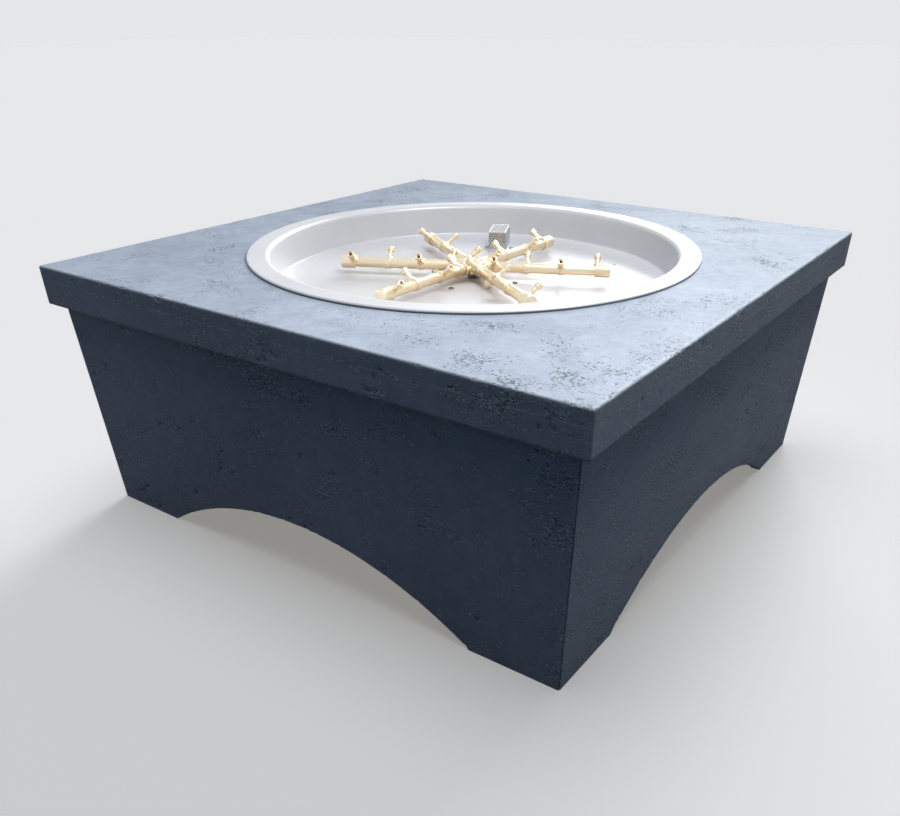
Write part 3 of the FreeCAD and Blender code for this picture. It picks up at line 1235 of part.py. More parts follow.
def build():
    """Make and write all sub-parts."""
    os.makedirs("parts", exist_ok=True)
    corner_screws, corner_holes = wall_screws(corner_screw_places())
    cleat_screws, cleat_holes = wall_screws(cleat_screw_places())
    ring = base_ring().cut(corner_holes + cleat_holes)
    for name, turn in (("front_panel", 0), ("right_panel", 90), ("back_panel", 180), ("left_panel", 270)):
        save(name, ring.common(panel_wedge(turn)))
    save("table_top", table_top())
    save("corner_angles", [corner_angle(turn).cut(corner_holes) for turn in (0, 90, 180, 270)])
    save("corner_angle_screws", corner_screws)
    save("slab_cleats", [cleat(turn).cut(cleat_holes) for turn in (0, 90, 180, 270)])
    save("slab_cleat_screws", cleat_screws)

    save("fire_pan", fire_pan())
    save("burner_hub", burner_hub())
    arm, cap = burner_arm(), arm_cap()
    collars = [jet_collar(index) for index in range(len(JET_STATIONS) - 1)]
    jets = [jet(index) for index in range(len(JET_STATIONS))]
    arm_names = ("right", "back_right", "back_left", "left", "front_left", "front_right")
    for index, side in enumerate(arm_names):
        turn = arm_turn(index)
        save("burner_arm_" + side, turned(arm, turn))
        save("burner_jets_" + side, [turned(piece, turn) for piece in jets])
    turns = [arm_turn(index) for index in range(ARM_COUNT)]
    save("arm_end_caps", [turned(cap, turn) for turn in turns])
    save("jet_collars", [turned(piece, turn) for turn in turns for piece in collars])
    save("burner_legs", [turned(burner_leg(), arm_turn(index)) for index in LEG_ARMS])

    save("riser_nipple", riser_nipple())
    save("riser_locknuts", riser_nuts())
    save("riser_washers", riser_washers())
    save("riser_elbow", riser_elbow())
    save("air_mixer_body", mixer_body())
    save("air_shutter", air_shutter())
    save("gas_hose", swept_tube("gas_hose", hose_points(), HOSE_RADIUS, HOSE_BORE))
    save("hose_nuts", hose_nuts())

    save("safety_valve_body", safety_valve())
    save("valve_spindle", valve_spindle())
    save("valve_knob", valve_knob())
    save("valve_nipple", valve_nipple())
    save("shutoff_valve_body", shutoff_valve())
    save("shutoff_stem", shutoff_stem())
    save("shutoff_lever", shutoff_lever())
    save("lever_sleeve", lever_sleeve())
    save("lever_nut", lever_nut())

    save("control_bracket", control_bracket())
    save("bracket_bolts", bracket_bolts())
    save("bracket_nuts", bracket_nuts())
    save("igniter_body", igniter_body())
    save("igniter_nut", igniter_nut())
    save("igniter_battery", igniter_battery())
    save("spark_button", spark_button())

    save("pilot_base", pilot_base())
    save("pilot_cage", pilot_cage())
    save("pilot_burner", pilot_burner())
    save("spark_electrode", spark_electrode())
    save("flame_sensor", flame_sensor())
    save("ear_screws", ear_screws())
    save("pilot_tube", pilot_tube())
    save("sensor_lead", sensor_lead())
    save("spark_lead", spark_lead())


build()
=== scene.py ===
import json
import math

import bmesh
import bpy
import numpy as np
from mathutils import Matrix, Vector


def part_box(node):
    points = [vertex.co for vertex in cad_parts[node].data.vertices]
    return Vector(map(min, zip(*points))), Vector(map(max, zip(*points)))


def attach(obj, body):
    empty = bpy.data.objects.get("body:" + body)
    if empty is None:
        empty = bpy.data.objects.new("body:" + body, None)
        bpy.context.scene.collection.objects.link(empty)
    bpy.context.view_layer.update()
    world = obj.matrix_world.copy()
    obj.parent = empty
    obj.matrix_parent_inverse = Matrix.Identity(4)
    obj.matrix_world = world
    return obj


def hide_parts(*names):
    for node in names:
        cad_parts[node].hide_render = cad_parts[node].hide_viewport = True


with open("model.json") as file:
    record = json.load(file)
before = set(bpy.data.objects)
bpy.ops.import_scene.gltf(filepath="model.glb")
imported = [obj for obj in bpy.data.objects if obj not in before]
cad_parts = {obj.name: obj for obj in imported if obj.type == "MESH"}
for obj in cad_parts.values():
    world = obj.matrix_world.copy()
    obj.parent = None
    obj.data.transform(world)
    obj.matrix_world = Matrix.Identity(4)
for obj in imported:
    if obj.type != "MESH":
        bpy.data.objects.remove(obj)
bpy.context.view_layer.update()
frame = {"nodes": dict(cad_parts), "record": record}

# Looks of a square concrete fire table with a round steel pan and a brass burner.
# Sizes are millimetres until a mesh is written; MM turns them into metres.
# The origin is on the floor under the middle of the table; the front looks along -Y.

MM = 0.001
RECORD = frame["record"]
BODY_OF = {node: body for body, nodes in RECORD["behaviour"]["bodies"].items() for node in nodes}
SLOT_OF = {row["node"]: row["material_slot"] for row in RECORD["subparts"]}


def node_box(node):
    """Lowest and highest corner of a node in millimetres."""
    low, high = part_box(node)
    return np.array(low) / MM, np.array(high) / MM


# ---- sizes

TOP_LOW, TOP_HIGH = node_box("table_top")
TOP_HALF = TOP_HIGH[0]
TOP_Z = TOP_HIGH[2]
APRON_Z = TOP_LOW[2]
SLAB_UNDER = node_box("front_panel")[1][2]
APRON_DRAFT = 4.3
APRON_WALL = 18.0
TOP_ARRIS = 4.0
SEAM_Z = TOP_Z - 29.0
HOLE_RADIUS = 430.0
HOLE_ARRIS = 3.0

BASE_TOP_HALF = node_box("front_panel")[1][0]
BASE_LEAN = 38.4 / 440.0
BASE_WALL = 18.0
BASE_ARRIS = 4.0
MITRE_GAP = 0.5
ARCH_SPAN = 750.0
ARCH_RISE = 114.0
ARCH_ARRIS = 2.5
ARCH_RADIUS = (ARCH_SPAN ** 2 / 4 + ARCH_RISE ** 2) / (2 * ARCH_RISE)

PAN_LOW, PAN_HIGH = node_box("fire_pan")
PAN_SHEET = 2.0
PAN_FLANGE_RADIUS = PAN_HIGH[0]
PAN_FLANGE_Z = PAN_HIGH[2]
PAN_FLOOR = PAN_LOW[2] + PAN_SHEET
PAN_WALL_RADIUS = 420.0
PAN_WALL_TAPER = 8.0
PAN_CENTRE_HOLE = 11.25
DRAIN_RADIUS = 3.0
DRAIN_CIRCLE = 332.0
DRAIN_ANGLE = 54.0

ARM_NAMES = ("right", "back_right", "back_left", "left", "front_left", "front_right")
ARM_ANGLE = 26.7
ARM_STEP = 60.0
ARM_START = 24.0
ARM_LENGTH = 285.0
PIPE_Z = PAN_FLOOR + 25.0
PIPE_RADIUS = 10.65
PIPE_BORE = 7.9
PIPE_SOCKET = 10.75
CAP_LENGTH = 31.0
CAP_WALL = 3.0
CAP_RADIUS = 13.75
JET_STATIONS = (46.0, 112.0, 184.0, 258.0)
JET_TILT = 52.0
JET_REACH = 41.0
JET_ROOT = 11.25
JET_TUBE_RADIUS = 5.1
JET_TUBE_BORE = 3.2
JET_HEAD_RADIUS = 7.2
JET_HEAD_BORE = 4.6
JET_HEAD_LENGTH = 10.0
JET_HEAD_DEPTH = 4.0
COLLAR_WIDTH = 12.0
COLLAR_WALL = 1.4
BOSS_RADIUS = 6.6
BOSS_REACH = 15.5

CAGE_CIRCLE = 272.0
CAGE_ANGLE = 112.0
CAGE_TURN = 26.7
CAGE_WIDTH = 41.0
CAGE_LENGTH = 86.0
CAGE_HEIGHT = 47.0
CAGE_SHEET = 1.0
CAGE_ROUND = 2.0
CAGE_HOLE_RADIUS = 2.2
CAGE_COLUMNS = 40
CAGE_ROWS = 7
CAGE_SKIRT = 6.8
LID_ROWS = 6
LID_COLUMNS = 12
EAR_WIDTH = 20.0
EAR_NOTCH = 1.3

RISER_WASHER = 1.5
NUT_HEIGHT = 6.5
RING_NUT_RADIUS = 12.4
RING_NUT_TEETH = 48
RING_NUT_CUT = 0.7
LOCKNUT_FLATS = 32.0
LOCKNUT_TURN = 12.0

HOSE_RADIUS = 7.0
HOSE_START_Y = -98.0
HOSE_Z = 400.0
HOSE_RUNS = (45.0, 50.0, 50.0, 45.0)
HOSE_STEP = 30.0
HOSE_RINGS = 420
HOSE_STATIONS = 28
HOSE_PITCH = 3.6
HOSE_CUT = 1.3

X_WAY, Y_WAY, Z_WAY = np.eye(3)

# ---- surfaces

WELD = 0.01
WELD_SHIFT = 0.317
WAVE_COUNT = 9


def spots(*axes):
    """Coordinates along each axis, spread to one shape, as points."""
    return np.stack(np.broadcast_arrays(*axes), axis=-1)


def raised(flat, height):
    """Flat points with heights that spread over them."""
    return spots(flat[..., 0], flat[..., 1], height)


def flat_ways(angle):
    """Flat ways at angles from +X."""
    return spots(np.cos(angle), np.sin(angle))


def full_turn(stations):
    """Angles of stations once round a circle."""
    return 2 * np.pi * np.arange(stations) / stations


def way_at(degrees):
    """Flat way at an angle from +X."""
    angle = math.radians(degrees)
    return np.array((math.cos(angle), math.sin(angle)))


def face_ways(degrees):
    """Ways along and out of the side of the table that is turned so far from the front."""
    x, y = way_at(degrees)
    return np.array((x, y, 0)), np.array((y, -x, 0))


def grid(points, around=False, along=False):
    """Quads over points [..., rows, columns, 3]: around joins the last column to the first, along the rows.
    Leading axes are separate sheets of the same shape."""
    index = np.arange(points[..., 0].size).reshape(points.shape[:-1])
    if around:
        index = np.concatenate((index, index[..., :1]), axis=-1)
    if along:
        index = np.concatenate((index, index[..., :1, :]), axis=-2)
    corners = (index[..., :-1, :-1], index[..., :-1, 1:], index[..., 1:, 1:], index[..., 1:, :-1])
    return points.reshape(-1, 3), spots(*corners).reshape(-1, 4)


def joined(patches):
    """Patches of one piece as one mesh: points nearer than the weld become one, flat faces go."""
    starts = np.cumsum([0] + [len(points) for points, _ in patches])
    points = np.concatenate([points for points, _ in patches])
    faces = np.concatenate([faces + start for (_, faces), start in zip(patches, starts)])
    keys = np.floor(points / WELD + WELD_SHIFT).astype(np.int64)
    first, inverse = np.unique(keys, axis=0, return_index=True, return_inverse=True)[1:]
    faces = inverse.reshape(-1)[faces]
    same = faces == np.roll(faces, -1, axis=1)
    crossed = (faces[:, 0] == faces[:, 2]) | (faces[:, 1] == faces[:, 3])
    whole = faces[(same.sum(axis=1) == 0) & ~crossed].tolist()
    for corner in range(4):
        rest = [(corner + step) % 4 for step in (1, 2, 3)]
        whole += faces[same[:, corner] & (same.sum(axis=1) == 1)][:, rest].tolist()
    return points[first], whole


def unit(vector):
    """Vector of length one."""
    return np.asarray(vector, float) / np.linalg.norm(vector)


def eased(corners, rounds, steps):
    """Polyline with each corner replaced by a small curve that starts a given way before it."""
    corners = np.asarray(corners, float)
    out = []
    for index, (corner, reach) in enumerate(zip(corners, np.broadcast_to(rounds, len(corners)))):
        if reach == 0:
            out.append(corner[None])
            continue
        start = corner + unit(corners[index - 1] - corner) * reach
        end = corner + unit(corners[(index + 1) % len(corners)] - corner) * reach
        t = np.linspace(0, 1, steps + 1)[:, None]
        out.append(start * (1 - t) ** 2 + corner * 2 * t * (1 - t) + end * t ** 2)
    return np.concatenate(out)


def lathe(profile, foot, along, stations=40):
    """Closed profile of (way along, radius) turned once round the axis that starts at foot."""
    side = unit(np.cross(Z_WAY if abs(along[2]) < 0.9 else X_WAY, along))
    turn = full_turn(stations)[:, None]
    ring = np.cos(turn) * side + np.sin(turn) * np.cross(along, side)
    points = np.asarray(foot) + profile[:, None, :1] * along + profile[:, None, 1:] * ring
    return grid(points, around=True, along=True)


def turned(patch, degrees):
    """Patch turned about the upright axis through the origin."""
    x, y = way_at(degrees)
    return patch[0] @ np.array(((x, y, 0), (-y, x, 0), (0, 0, 1))), patch[1]


def waves(points, length, seed):
    """Smooth unevenness from -1 to 1: a sum of sines of random ways, lengths and starts."""
    rng = np.random.default_rng(seed)
    total = np.zeros(len(points))
    for _ in range(WAVE_COUNT):
        way = unit(rng.normal(size=3)) * 2 * np.pi / (length * rng.uniform(0.6, 1.7))
        total += np.sin(points @ way + rng.uniform(0, 2 * np.pi))
    return total / WAVE_COUNT ** 0.5 / 1.5


def run_along(line):
    """Way along a line to each of its points."""
    return np.concatenate(((0,), np.cumsum(np.linalg.norm(np.diff(line, axis=0), axis=1))))


def picked(ways, steps, line):
    """Places at ways along a line whose points lie at the steps."""
    return spots(*(np.interp(ways, steps, axis) for axis in line.T))


# ---- pieces

SHARP = 35.0
MACHINED_SHARP = 30.0
FLAT_WITHIN = 0.5


def placed(name, data):
    """New object in the scene."""
    thing = bpy.data.objects.new(name, data)
    bpy.context.scene.collection.objects.link(thing)
    return thing


def reworked(mesh, *steps):
    """Take a mesh through steps that each change it in place."""
    work = bmesh.new()
    work.from_mesh(mesh)
    for step in steps:
        step(work)
    work.to_mesh(mesh)
    work.free()


def outwards(work):
    """Turn faces outwards."""
    bmesh.ops.recalc_face_normals(work, faces=work.faces[:])


def filled(work):
    """Close the open rim with one face."""
    bmesh.ops.contextual_create(work, geom=[edge for edge in work.edges if edge.is_boundary])


def merged(work):
    """Make loose triangles one skin, with its flat faces whole."""
    bmesh.ops.remove_doubles(work, verts=work.verts[:], dist=WELD * MM)
    flat = math.radians(FLAT_WITHIN)
    bmesh.ops.dissolve_limit(work, angle_limit=flat, verts=work.verts[:], edges=work.edges[:])


def smoothed(mesh, sharp):
    """Shade a mesh smooth, but for edges sharper than an angle."""
    mesh.shade_smooth()
    mesh.set_sharp_from_angle(angle=math.radians(sharp))


def piece(name, patches, node, sharp=SHARP):
    """Mesh piece that stands for a node: faces turned outwards, smooth up to the sharp angle."""
    points, faces = joined(patches)
    mesh = bpy.data.meshes.new(name)
    mesh.from_pydata(points * MM, [], faces)
    reworked(mesh, outwards)
    return seated(name, mesh, node, sharp)


def seated(name, mesh, node, sharp):
    """Object smoothed, painted, and riding on the body of the node that it replaces."""
    shape = placed(name, mesh)
    smoothed(mesh, sharp)
    mesh.materials.clear()
    mesh.materials.append(FINISHES[SLOT_OF[node]])
    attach(shape, BODY_OF[node])
    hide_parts(node)
    return shape


def machined(node, width, name, segments=2):
    """Merged copy of a node's mesh with its flat faces made whole and its edges broken."""
    mesh = frame["nodes"][node].data.copy()
    reworked(mesh, merged)
    mesh.name = name
    shape = seated(name, mesh, node, MACHINED_SHARP)
    bevel = shape.modifiers.new("broken_edges", "BEVEL")
    bevel.width = width * MM
    bevel.segments = segments
    bevel.limit_method = "ANGLE"
    bevel.angle_limit = math.radians(MACHINED_SHARP)
    return shape


def read(rows, name):
    """Three numbers of each row of a mesh, as an array."""
    numbers = np.empty(len(rows) * 3, np.float32)
    rows.foreach_get(name, numbers)
    return numbers.reshape(-1, 3).astype(float)


def mark(shape, *values):
    """Keep three numbers of each point in the marks attribute."""
    marks = shape.data.attributes.new("marks", "FLOAT_COLOR", "POINT")
    marks.data.foreach_set("color", spots(*values, 1.0).astype(np.float32).ravel())


# ---- shader maths

def operator(operation, reflected=False):
    """Method that adds a Math node on the value and another, or on the other and the value."""
    def method(self, other):
        return self.math(operation, *((other, self) if reflected else (self, other)))
    return method


class Value:
    """A node's output; arithmetic on it adds Math nodes."""

    def __init__(self, shader, socket):
        self.shader = shader
        self.socket = socket

    def out(self, name):
        """Another output of the same node."""
        return Value(self.shader, self.socket.node.outputs[name])

    def math(self, operation, *inputs):
        """Math node on some inputs."""
        return self.shader.node("ShaderNodeMath", {"operation": operation}, dict(enumerate(inputs)))

    __add__ = __radd__ = operator("ADD")
    __sub__ = operator("SUBTRACT")
    __rsub__ = operator("SUBTRACT", reflected=True)
    __mul__ = __rmul__ = operator("MULTIPLY")
    __truediv__ = operator("DIVIDE")
    __pow__ = operator("POWER")
    larger = operator("MAXIMUM")

    def __abs__(self):
        return self.math("ABSOLUTE", self)

    def limited(self):
        """The value kept between 0 and 1."""
        return self.math("MINIMUM", self, 1.0).larger(0.0)

    def step(self, low, high):
        """0 below low and 1 above high, with a soft slope between; low over high turns it round."""
        span = {"Value": self, "From Min": low, "From Max": high}
        return self.shader.node("ShaderNodeMapRange", {"interpolation_type": "SMOOTHSTEP"}, span)


class Shader:
    """The nodes of one material or of the world."""

    def __init__(self, owner):
        owner.use_nodes = True
        self.owner = owner
        self.tree = owner.node_tree
        self.tree.nodes.clear()
        self.place = self.node("ShaderNodeTexCoord", output="Object")

    def node(self, kind, settings=None, inputs=None, output=0):
        """Add a node: its settings first, then values or links for its inputs; gives one output."""
        made = self.tree.nodes.new(kind)
        for name, value in (settings or {}).items():
            setattr(made, name, value)
        for name, value in (inputs or {}).items():
            socket = made.inputs[name]
            if isinstance(value, Value):
                self.tree.links.new(value.socket, socket)
            else:
                socket.default_value = (*value, 1.0) if socket.type == "RGBA" else value
        return Value(self, made.outputs[output]) if made.outputs else None

    def mix(self, factor, one, two):
        """Colour that goes from one to two with the factor."""
        return self.node("ShaderNodeMix", {"data_type": "RGBA"}, {0: factor, 6: one, 7: two}, 2)

    def noise(self, scale, detail, roughness, place=None):
        """Fractal noise from 0 to 1 with features of about one over the scale in metres."""
        inputs = {"Vector": place or self.place, "Scale": scale, "Detail": detail, "Roughness": roughness}
        return self.node("ShaderNodeTexNoise", None, inputs)

    def stretched(self, scales, turn=0.0):
        """Coordinates stretched along each axis and turned about the upright one."""
        inputs = {"Vector": self.place, "Scale": scales, "Rotation": (0.0, 0.0, turn)}
        return self.node("ShaderNodeMapping", None, inputs)

    def vector(self, operation, *inputs, output=0):
        """Vector Math node on some inputs."""
        return self.node("ShaderNodeVectorMath", {"operation": operation}, dict(enumerate(inputs)), output)

    def part(self, vector, axis="Z"):
        """One coordinate of a vector."""
        return self.node("ShaderNodeSeparateXYZ", None, {0: vector}, axis)

    def marks(self, output):
        """What the marks attribute holds."""
        return self.node("ShaderNodeAttribute", {"attribute_name": "marks"}, None, output)

    def end(self, relief, depth, **sockets):
        """Feed the surface, tilted by a relief that spans a depth in metres, and give the material."""
        bump = self.node("ShaderNodeBump", None, {"Strength": 1.0, "Distance": depth, "Height": relief})
        inputs = {name.replace("_", " "): value for name, value in sockets.items()}
        surface = self.node("ShaderNodeBsdfPrincipled", None, {"Normal": bump, **inputs})
        self.node("ShaderNodeOutputMaterial", None, {"Surface": surface})
        return self.owner

    def seen_mix(self, seen, other):
        """Shader that is one thing to the camera and to mirrors and glass, and another to all other rays."""
        ray = self.node("ShaderNodeLightPath", None, None, "Is Camera Ray")
        ray = ray.larger(ray.out("Is Glossy Ray")).larger(ray.out("Is Transmission Ray"))
        return self.node("ShaderNodeMixShader", None, {0: ray, 1: other, 2: seen})


def finish(name):
    """Shader of a new material."""
    return Shader(bpy.data.materials.new(name))


# ---- finishes

SLATE_DARK = (0.308, 0.362, 0.440)
SLATE_PALE = (0.520, 0.588, 0.680)
SLATE_GREEN = (0.37, 0.445, 0.475)
# Painted shade in the crease and under the apron, and the colour of the drag marks.
SLATE_SHADE_AND_DRAG = (0.075, 0.088, 0.110)
SLATE_SEAM = (0.85, 0.90, 0.97)
# Wear and painted highlight along the edges.
SLATE_WORN_AND_HIGHLIT = (0.74, 0.80, 0.87)
# Painted shade inside the pits.
SLATE_PIT_SHADE = (0.060, 0.073, 0.094)
# Painted highlight on the lower lips of the holes and on specks on the side faces.
SLATE_LIP_HIGHLIGHT = (0.90, 0.97, 1.0)
PAN_DARK = (0.695, 0.70, 0.73)
PAN_PALE = (0.76, 0.765, 0.78)
# Painted shadow under the pan's hem.
PAN_HEM_SHADE = (0.05, 0.055, 0.065)
# Soot, heat darkening and painted shade on steel.
SOOT_AND_SHADE = (0.03, 0.03, 0.032)


def concrete_finish(name):
    """Slate-grey cast concrete: cloudy blue-grey, sandy, with torn air holes that crowd where the cast was
    rough, painted dark inside as shade, with painted highlights on their lower rims and pale painted
    highlight specks on the side faces, edges painted lighter for wear and highlight, a casting seam round
    the apron with its crease painted dark as shade, and painted shade under the apron."""
    f = finish(name)
    pit = f.node("ShaderNodeSeparateColor", None, {"Color": f.marks("Color")}, "Red")
    crowd, edge = pit.out("Green"), pit.out("Blue")
    height = f.part(f.place)
    side = height.step(TOP_Z * MM - 0.0005, TOP_Z * MM - 0.003)
    clouds = f.noise(2.6, 5.0, 0.55)
    mottle = f.noise(17.0, 6.0, 0.62)
    blotch = f.noise(52.0, 5.0, 0.6)
    grain = f.noise(330.0, 4.0, 0.6)

    flat = f.stretched((1.0, 1.2, 1.7))
    torn = f.noise(165.0, 5.0, 0.68, flat)
    torn_above = f.noise(165.0, 5.0, 0.68, f.vector("ADD", flat, (0.0, 0.0016, 0.0046)))
    patch = f.noise(9.0, 5.0, 0.66, flat).step(0.42, 0.70)
    limit = 0.685 - crowd * 0.100 - patch * 0.105
    hole = torn.step(limit, limit + 0.02)
    # Painted highlight: the lip mask is the band just below each hole, where light would catch its lower
    # rim.
    lip = (torn_above.step(limit, limit + 0.02) - hole).limited()
    sparse = 0.655 - crowd * 0.06 - patch * 0.05
    # Painted shade: small specks on the top, darkened as shaded pits.
    top_speck_shade = f.noise(330.0, 3.0, 0.6, flat).step(sparse, sparse + 0.03)
    # Painted highlight: pale specks on the side faces only.
    speck_limit = 0.670 - crowd * 0.055 - patch * 0.060
    side_speck_highlight = f.noise(150.0, 3.0, 0.6, flat).step(speck_limit, speck_limit + 0.03) * side
    deep = (pit + (torn - 0.5) * pit * 4.0).step(0.55, 0.80)
    deep = (deep * 0.8).larger(hole * (1.0 - side * 0.35))

    wavy = height + (mottle - 0.5) * 0.007 + (blotch - 0.5) * 0.006
    strip = wavy.step((SEAM_Z - 0.6) * MM, (SEAM_Z + 0.6) * MM) * side
    seam = (1.0 - abs((wavy - SEAM_Z * MM) / 0.0018)).limited() * blotch.step(0.36, 0.50)
    # Painted shade: a dark line in the crease just below the casting seam.
    crease_shade = (1.0 - abs((wavy - (SEAM_Z - 2.4) * MM) / 0.0012)).limited() * mottle.step(0.42, 0.52)
    # Painted shade: the base panels darken towards the apron above them, and the apron's lower edge darkens
    # too, as shade under the apron's overhang.
    under_apron_shade = height.step((APRON_Z - 46) * MM, (APRON_Z - 2) * MM) ** 2.0
    under_apron_shade = under_apron_shade * height.step((APRON_Z + 7) * MM, APRON_Z * MM)
    drag = abs(f.noise(9.0, 4.0, 0.5, f.stretched((1.0, 3.4, 1.0), 0.35)) - 0.5)
    drag = drag.step(0.006, 0.001) * clouds.step(0.45, 0.60)
    drag = drag * height.out("X").step(0.05, 0.35) * (1.0 - side) * grain.step(0.40, 0.55)

    tone = clouds.step(0.3, 0.7) * 0.38 + mottle.step(0.3, 0.72) * 0.32
    tone = tone + (blotch - 0.38) * 0.8 + (grain - 0.5) * 0.7
    base = f.mix(tone.limited(), SLATE_DARK, SLATE_PALE)
    base = f.mix(strip * 0.45, base, SLATE_GREEN)
    # Painted shade in the crease and under the apron; the drag marks on the top are real marks.
    base = f.mix((crease_shade * 0.35 + drag * 0.5 + under_apron_shade * 0.5).limited(), base, SLATE_SHADE_AND_DRAG)
    base = f.mix(seam * side * 0.60, base, SLATE_SEAM)
    # Edges painted lighter: partly wear, partly painted highlight along the arrises.
    base = f.mix(edge * 0.55, base, SLATE_WORN_AND_HIGHLIT)
    # Painted shade: the pits are darkened as if shaded inside, more on the side faces, and small specks on
    # the top are darkened the same way.
    dark = deep * (0.45 + side * 0.35) + top_speck_shade * (1.0 - side) * 0.30
    base = f.mix(dark.limited(), base, SLATE_PIT_SHADE)
    # Painted highlight: pale lower lips of the holes, and pale specks on the side faces.
    base = f.mix((lip * (side * 0.75 + 0.25)).larger(side_speck_highlight * 0.85), base, SLATE_LIP_HIGHLIGHT)
    rough = (0.55 + mottle * 0.18 + deep * 0.2).limited()
    relief = mottle * 0.5 + blotch * 0.4 + grain * 0.22 - hole * 1.0 - drag * 0.5 - crease_shade * 0.5 + lip * 0.2
    return f.end(relief, 0.0011, Base_Color=base, Roughness=rough, Specular_IOR_Level=0.11)


def pan_finish(name):
    """Bright satin sheet: faint clouds, a fine brushed grain and soft smudges, with a painted shadow under
    its hem.
    """
    f = finish(name)
    clouds = f.noise(5.0, 4.0, 0.55)
    smudge = f.noise(26.0, 5.0, 0.6)
    grain = f.noise(60.0, 3.0, 0.5, f.stretched((1.0, 14.0, 14.0)))
    reach = f.vector("LENGTH", f.vector("MULTIPLY", f.place, (1.0, 1.0, 0.0)), output="Value")
    hem = reach.step((PAN_FLANGE_RADIUS - 1.2) * MM, (PAN_FLANGE_RADIUS - 0.3) * MM)
    # Painted shadow: the foot of the flange's hem is darkened where it meets the concrete, as a shadow line.
    hem_shade = hem * f.part(f.place).step((PAN_FLANGE_Z - 2.2) * MM, (PAN_FLANGE_Z - 3.6) * MM)
    base = f.mix(clouds.step(0.3, 0.7), PAN_DARK, PAN_PALE)
    base = f.mix(hem_shade * 0.85, base, PAN_HEM_SHADE)
    rough = 0.36 + smudge.step(0.35, 0.75) * 0.05 + grain * 0.03 + hem_shade * 0.3
    relief = f.noise(4.0, 1.0, 0.4) * 0.9 + grain * 0.004
    return f.end(relief, 0.0004, Base_Color=base, Roughness=rough, Metallic=0.22, Specular_IOR_Level=0.5)


def brass_finish(name, bright, deep, rough_low, rough_span):
    """Turned brass: a fine tooth, slow warm patches and painted shade that turns what faces down tan."""
    f = finish(name)
    clouds = f.noise(16.0, 3.0, 0.5)
    dots = f.noise(150.0, 3.0, 0.55)
    tooth = f.noise(1600.0, 2.0, 0.5)
    # Painted shade: surfaces whose normal points down are mixed towards the deep tan tone.
    under = f.part(f.node("ShaderNodeNewGeometry", output="Normal")).step(0.35, -0.65)
    tone = clouds.step(0.35, 0.7) * 0.25 + dots.step(0.5, 0.8) * 0.12 + under * 0.75
    base = f.mix(tone.limited(), bright, deep)
    rough = rough_low + dots * rough_span + under * 0.08
    relief = tooth * 0.4 + dots * 0.6
    return f.end(relief, 0.00003, Base_Color=base, Roughness=rough, Metallic=1.0)


def steel_finish(name, pale, dark, rough_low, rough_span, scale):
    """Plated or drawn steel: crystals of two greys with a fine tooth, darkened where its marks say so: soot,
    heat and painted shade.
    """
    f = finish(name)
    cells = f.node("ShaderNodeTexVoronoi", None, {"Vector": f.place, "Scale": scale}, "Color")
    crystal = f.node("ShaderNodeSeparateColor", None, {"Color": cells})
    haze = f.noise(scale * 0.25, 4.0, 0.6)
    tooth = f.noise(scale * 9.0, 3.0, 0.6)
    base = f.mix((crystal * 0.6 + haze * 0.5).limited(), dark, pale)
    base = f.mix(f.marks("Fac") * 0.93, base, SOOT_AND_SHADE)
    rough = rough_low + crystal * rough_span * 0.5 + haze * rough_span * 0.5
    return f.end(tooth + haze, 0.00006, Base_Color=base, Roughness=rough, Metallic=1.0)


def plain_finish(name, one, two, rough_low, rough_span, scale, depth):
    """Moulded or fired material: two near tones, a fine tooth and a slow unevenness."""
    f = finish(name)
    haze = f.noise(scale, 4.0, 0.6)
    tooth = f.noise(scale * 14.0, 3.0, 0.6)
    base = f.mix((haze * 0.8 + tooth * 0.3).limited(), one, two)
    return f.end(tooth + haze * 0.5, depth, Base_Color=base, Roughness=rough_low + haze * rough_span)


FINISHES = {}
for maker, rows in (
    (concrete_finish, {"slate_concrete": ()}),
    (pan_finish, {"pan_steel": ()}),
    # Brass rows: bright tone, deep tone (also the painted shade on what faces down), roughness, roughness
    # spread.
    (brass_finish, {
        "burner_brass": ((0.97, 0.87, 0.66), (0.78, 0.55, 0.31), 0.24, 0.14),
        "valve_brass": ((0.80, 0.63, 0.34), (0.58, 0.40, 0.18), 0.30, 0.18),
        "copper_lead": ((0.86, 0.52, 0.36), (0.55, 0.30, 0.20), 0.28, 0.16)}),
    (steel_finish, {
        "zinc_steel": ((0.56, 0.57, 0.58), (0.38, 0.39, 0.41), 0.32, 0.16, 60.0),
        "cage_steel": ((0.78, 0.78, 0.78), (0.62, 0.62, 0.63), 0.24, 0.16, 90.0),
        "hose_steel": ((0.80, 0.80, 0.81), (0.66, 0.66, 0.68), 0.22, 0.12, 120.0),
        "alloy_tube": ((0.84, 0.85, 0.86), (0.74, 0.75, 0.77), 0.28, 0.14, 110.0)}),
    (plain_finish, {
        "lead_silicone": ((0.42, 0.05, 0.03), (0.56, 0.09, 0.05), 0.42, 0.15, 40.0, 0.0001),
        "black_plastic": ((0.018, 0.018, 0.020), (0.040, 0.040, 0.043), 0.36, 0.2, 60.0, 0.00012),
        "grip_vinyl": ((0.60, 0.34, 0.02), (0.72, 0.44, 0.04), 0.38, 0.15, 50.0, 0.0001),
        "electrode_ceramic": ((0.80, 0.78, 0.72), (0.90, 0.88, 0.84), 0.22, 0.1, 80.0, 0.00005),
        "battery_can": ((0.04, 0.10, 0.20), (0.07, 0.15, 0.28), 0.28, 0.1, 60.0, 0.00003)}),
):
    FINISHES.update({name: maker(name, *values) for name, values in rows.items()})


# ---- cast concrete

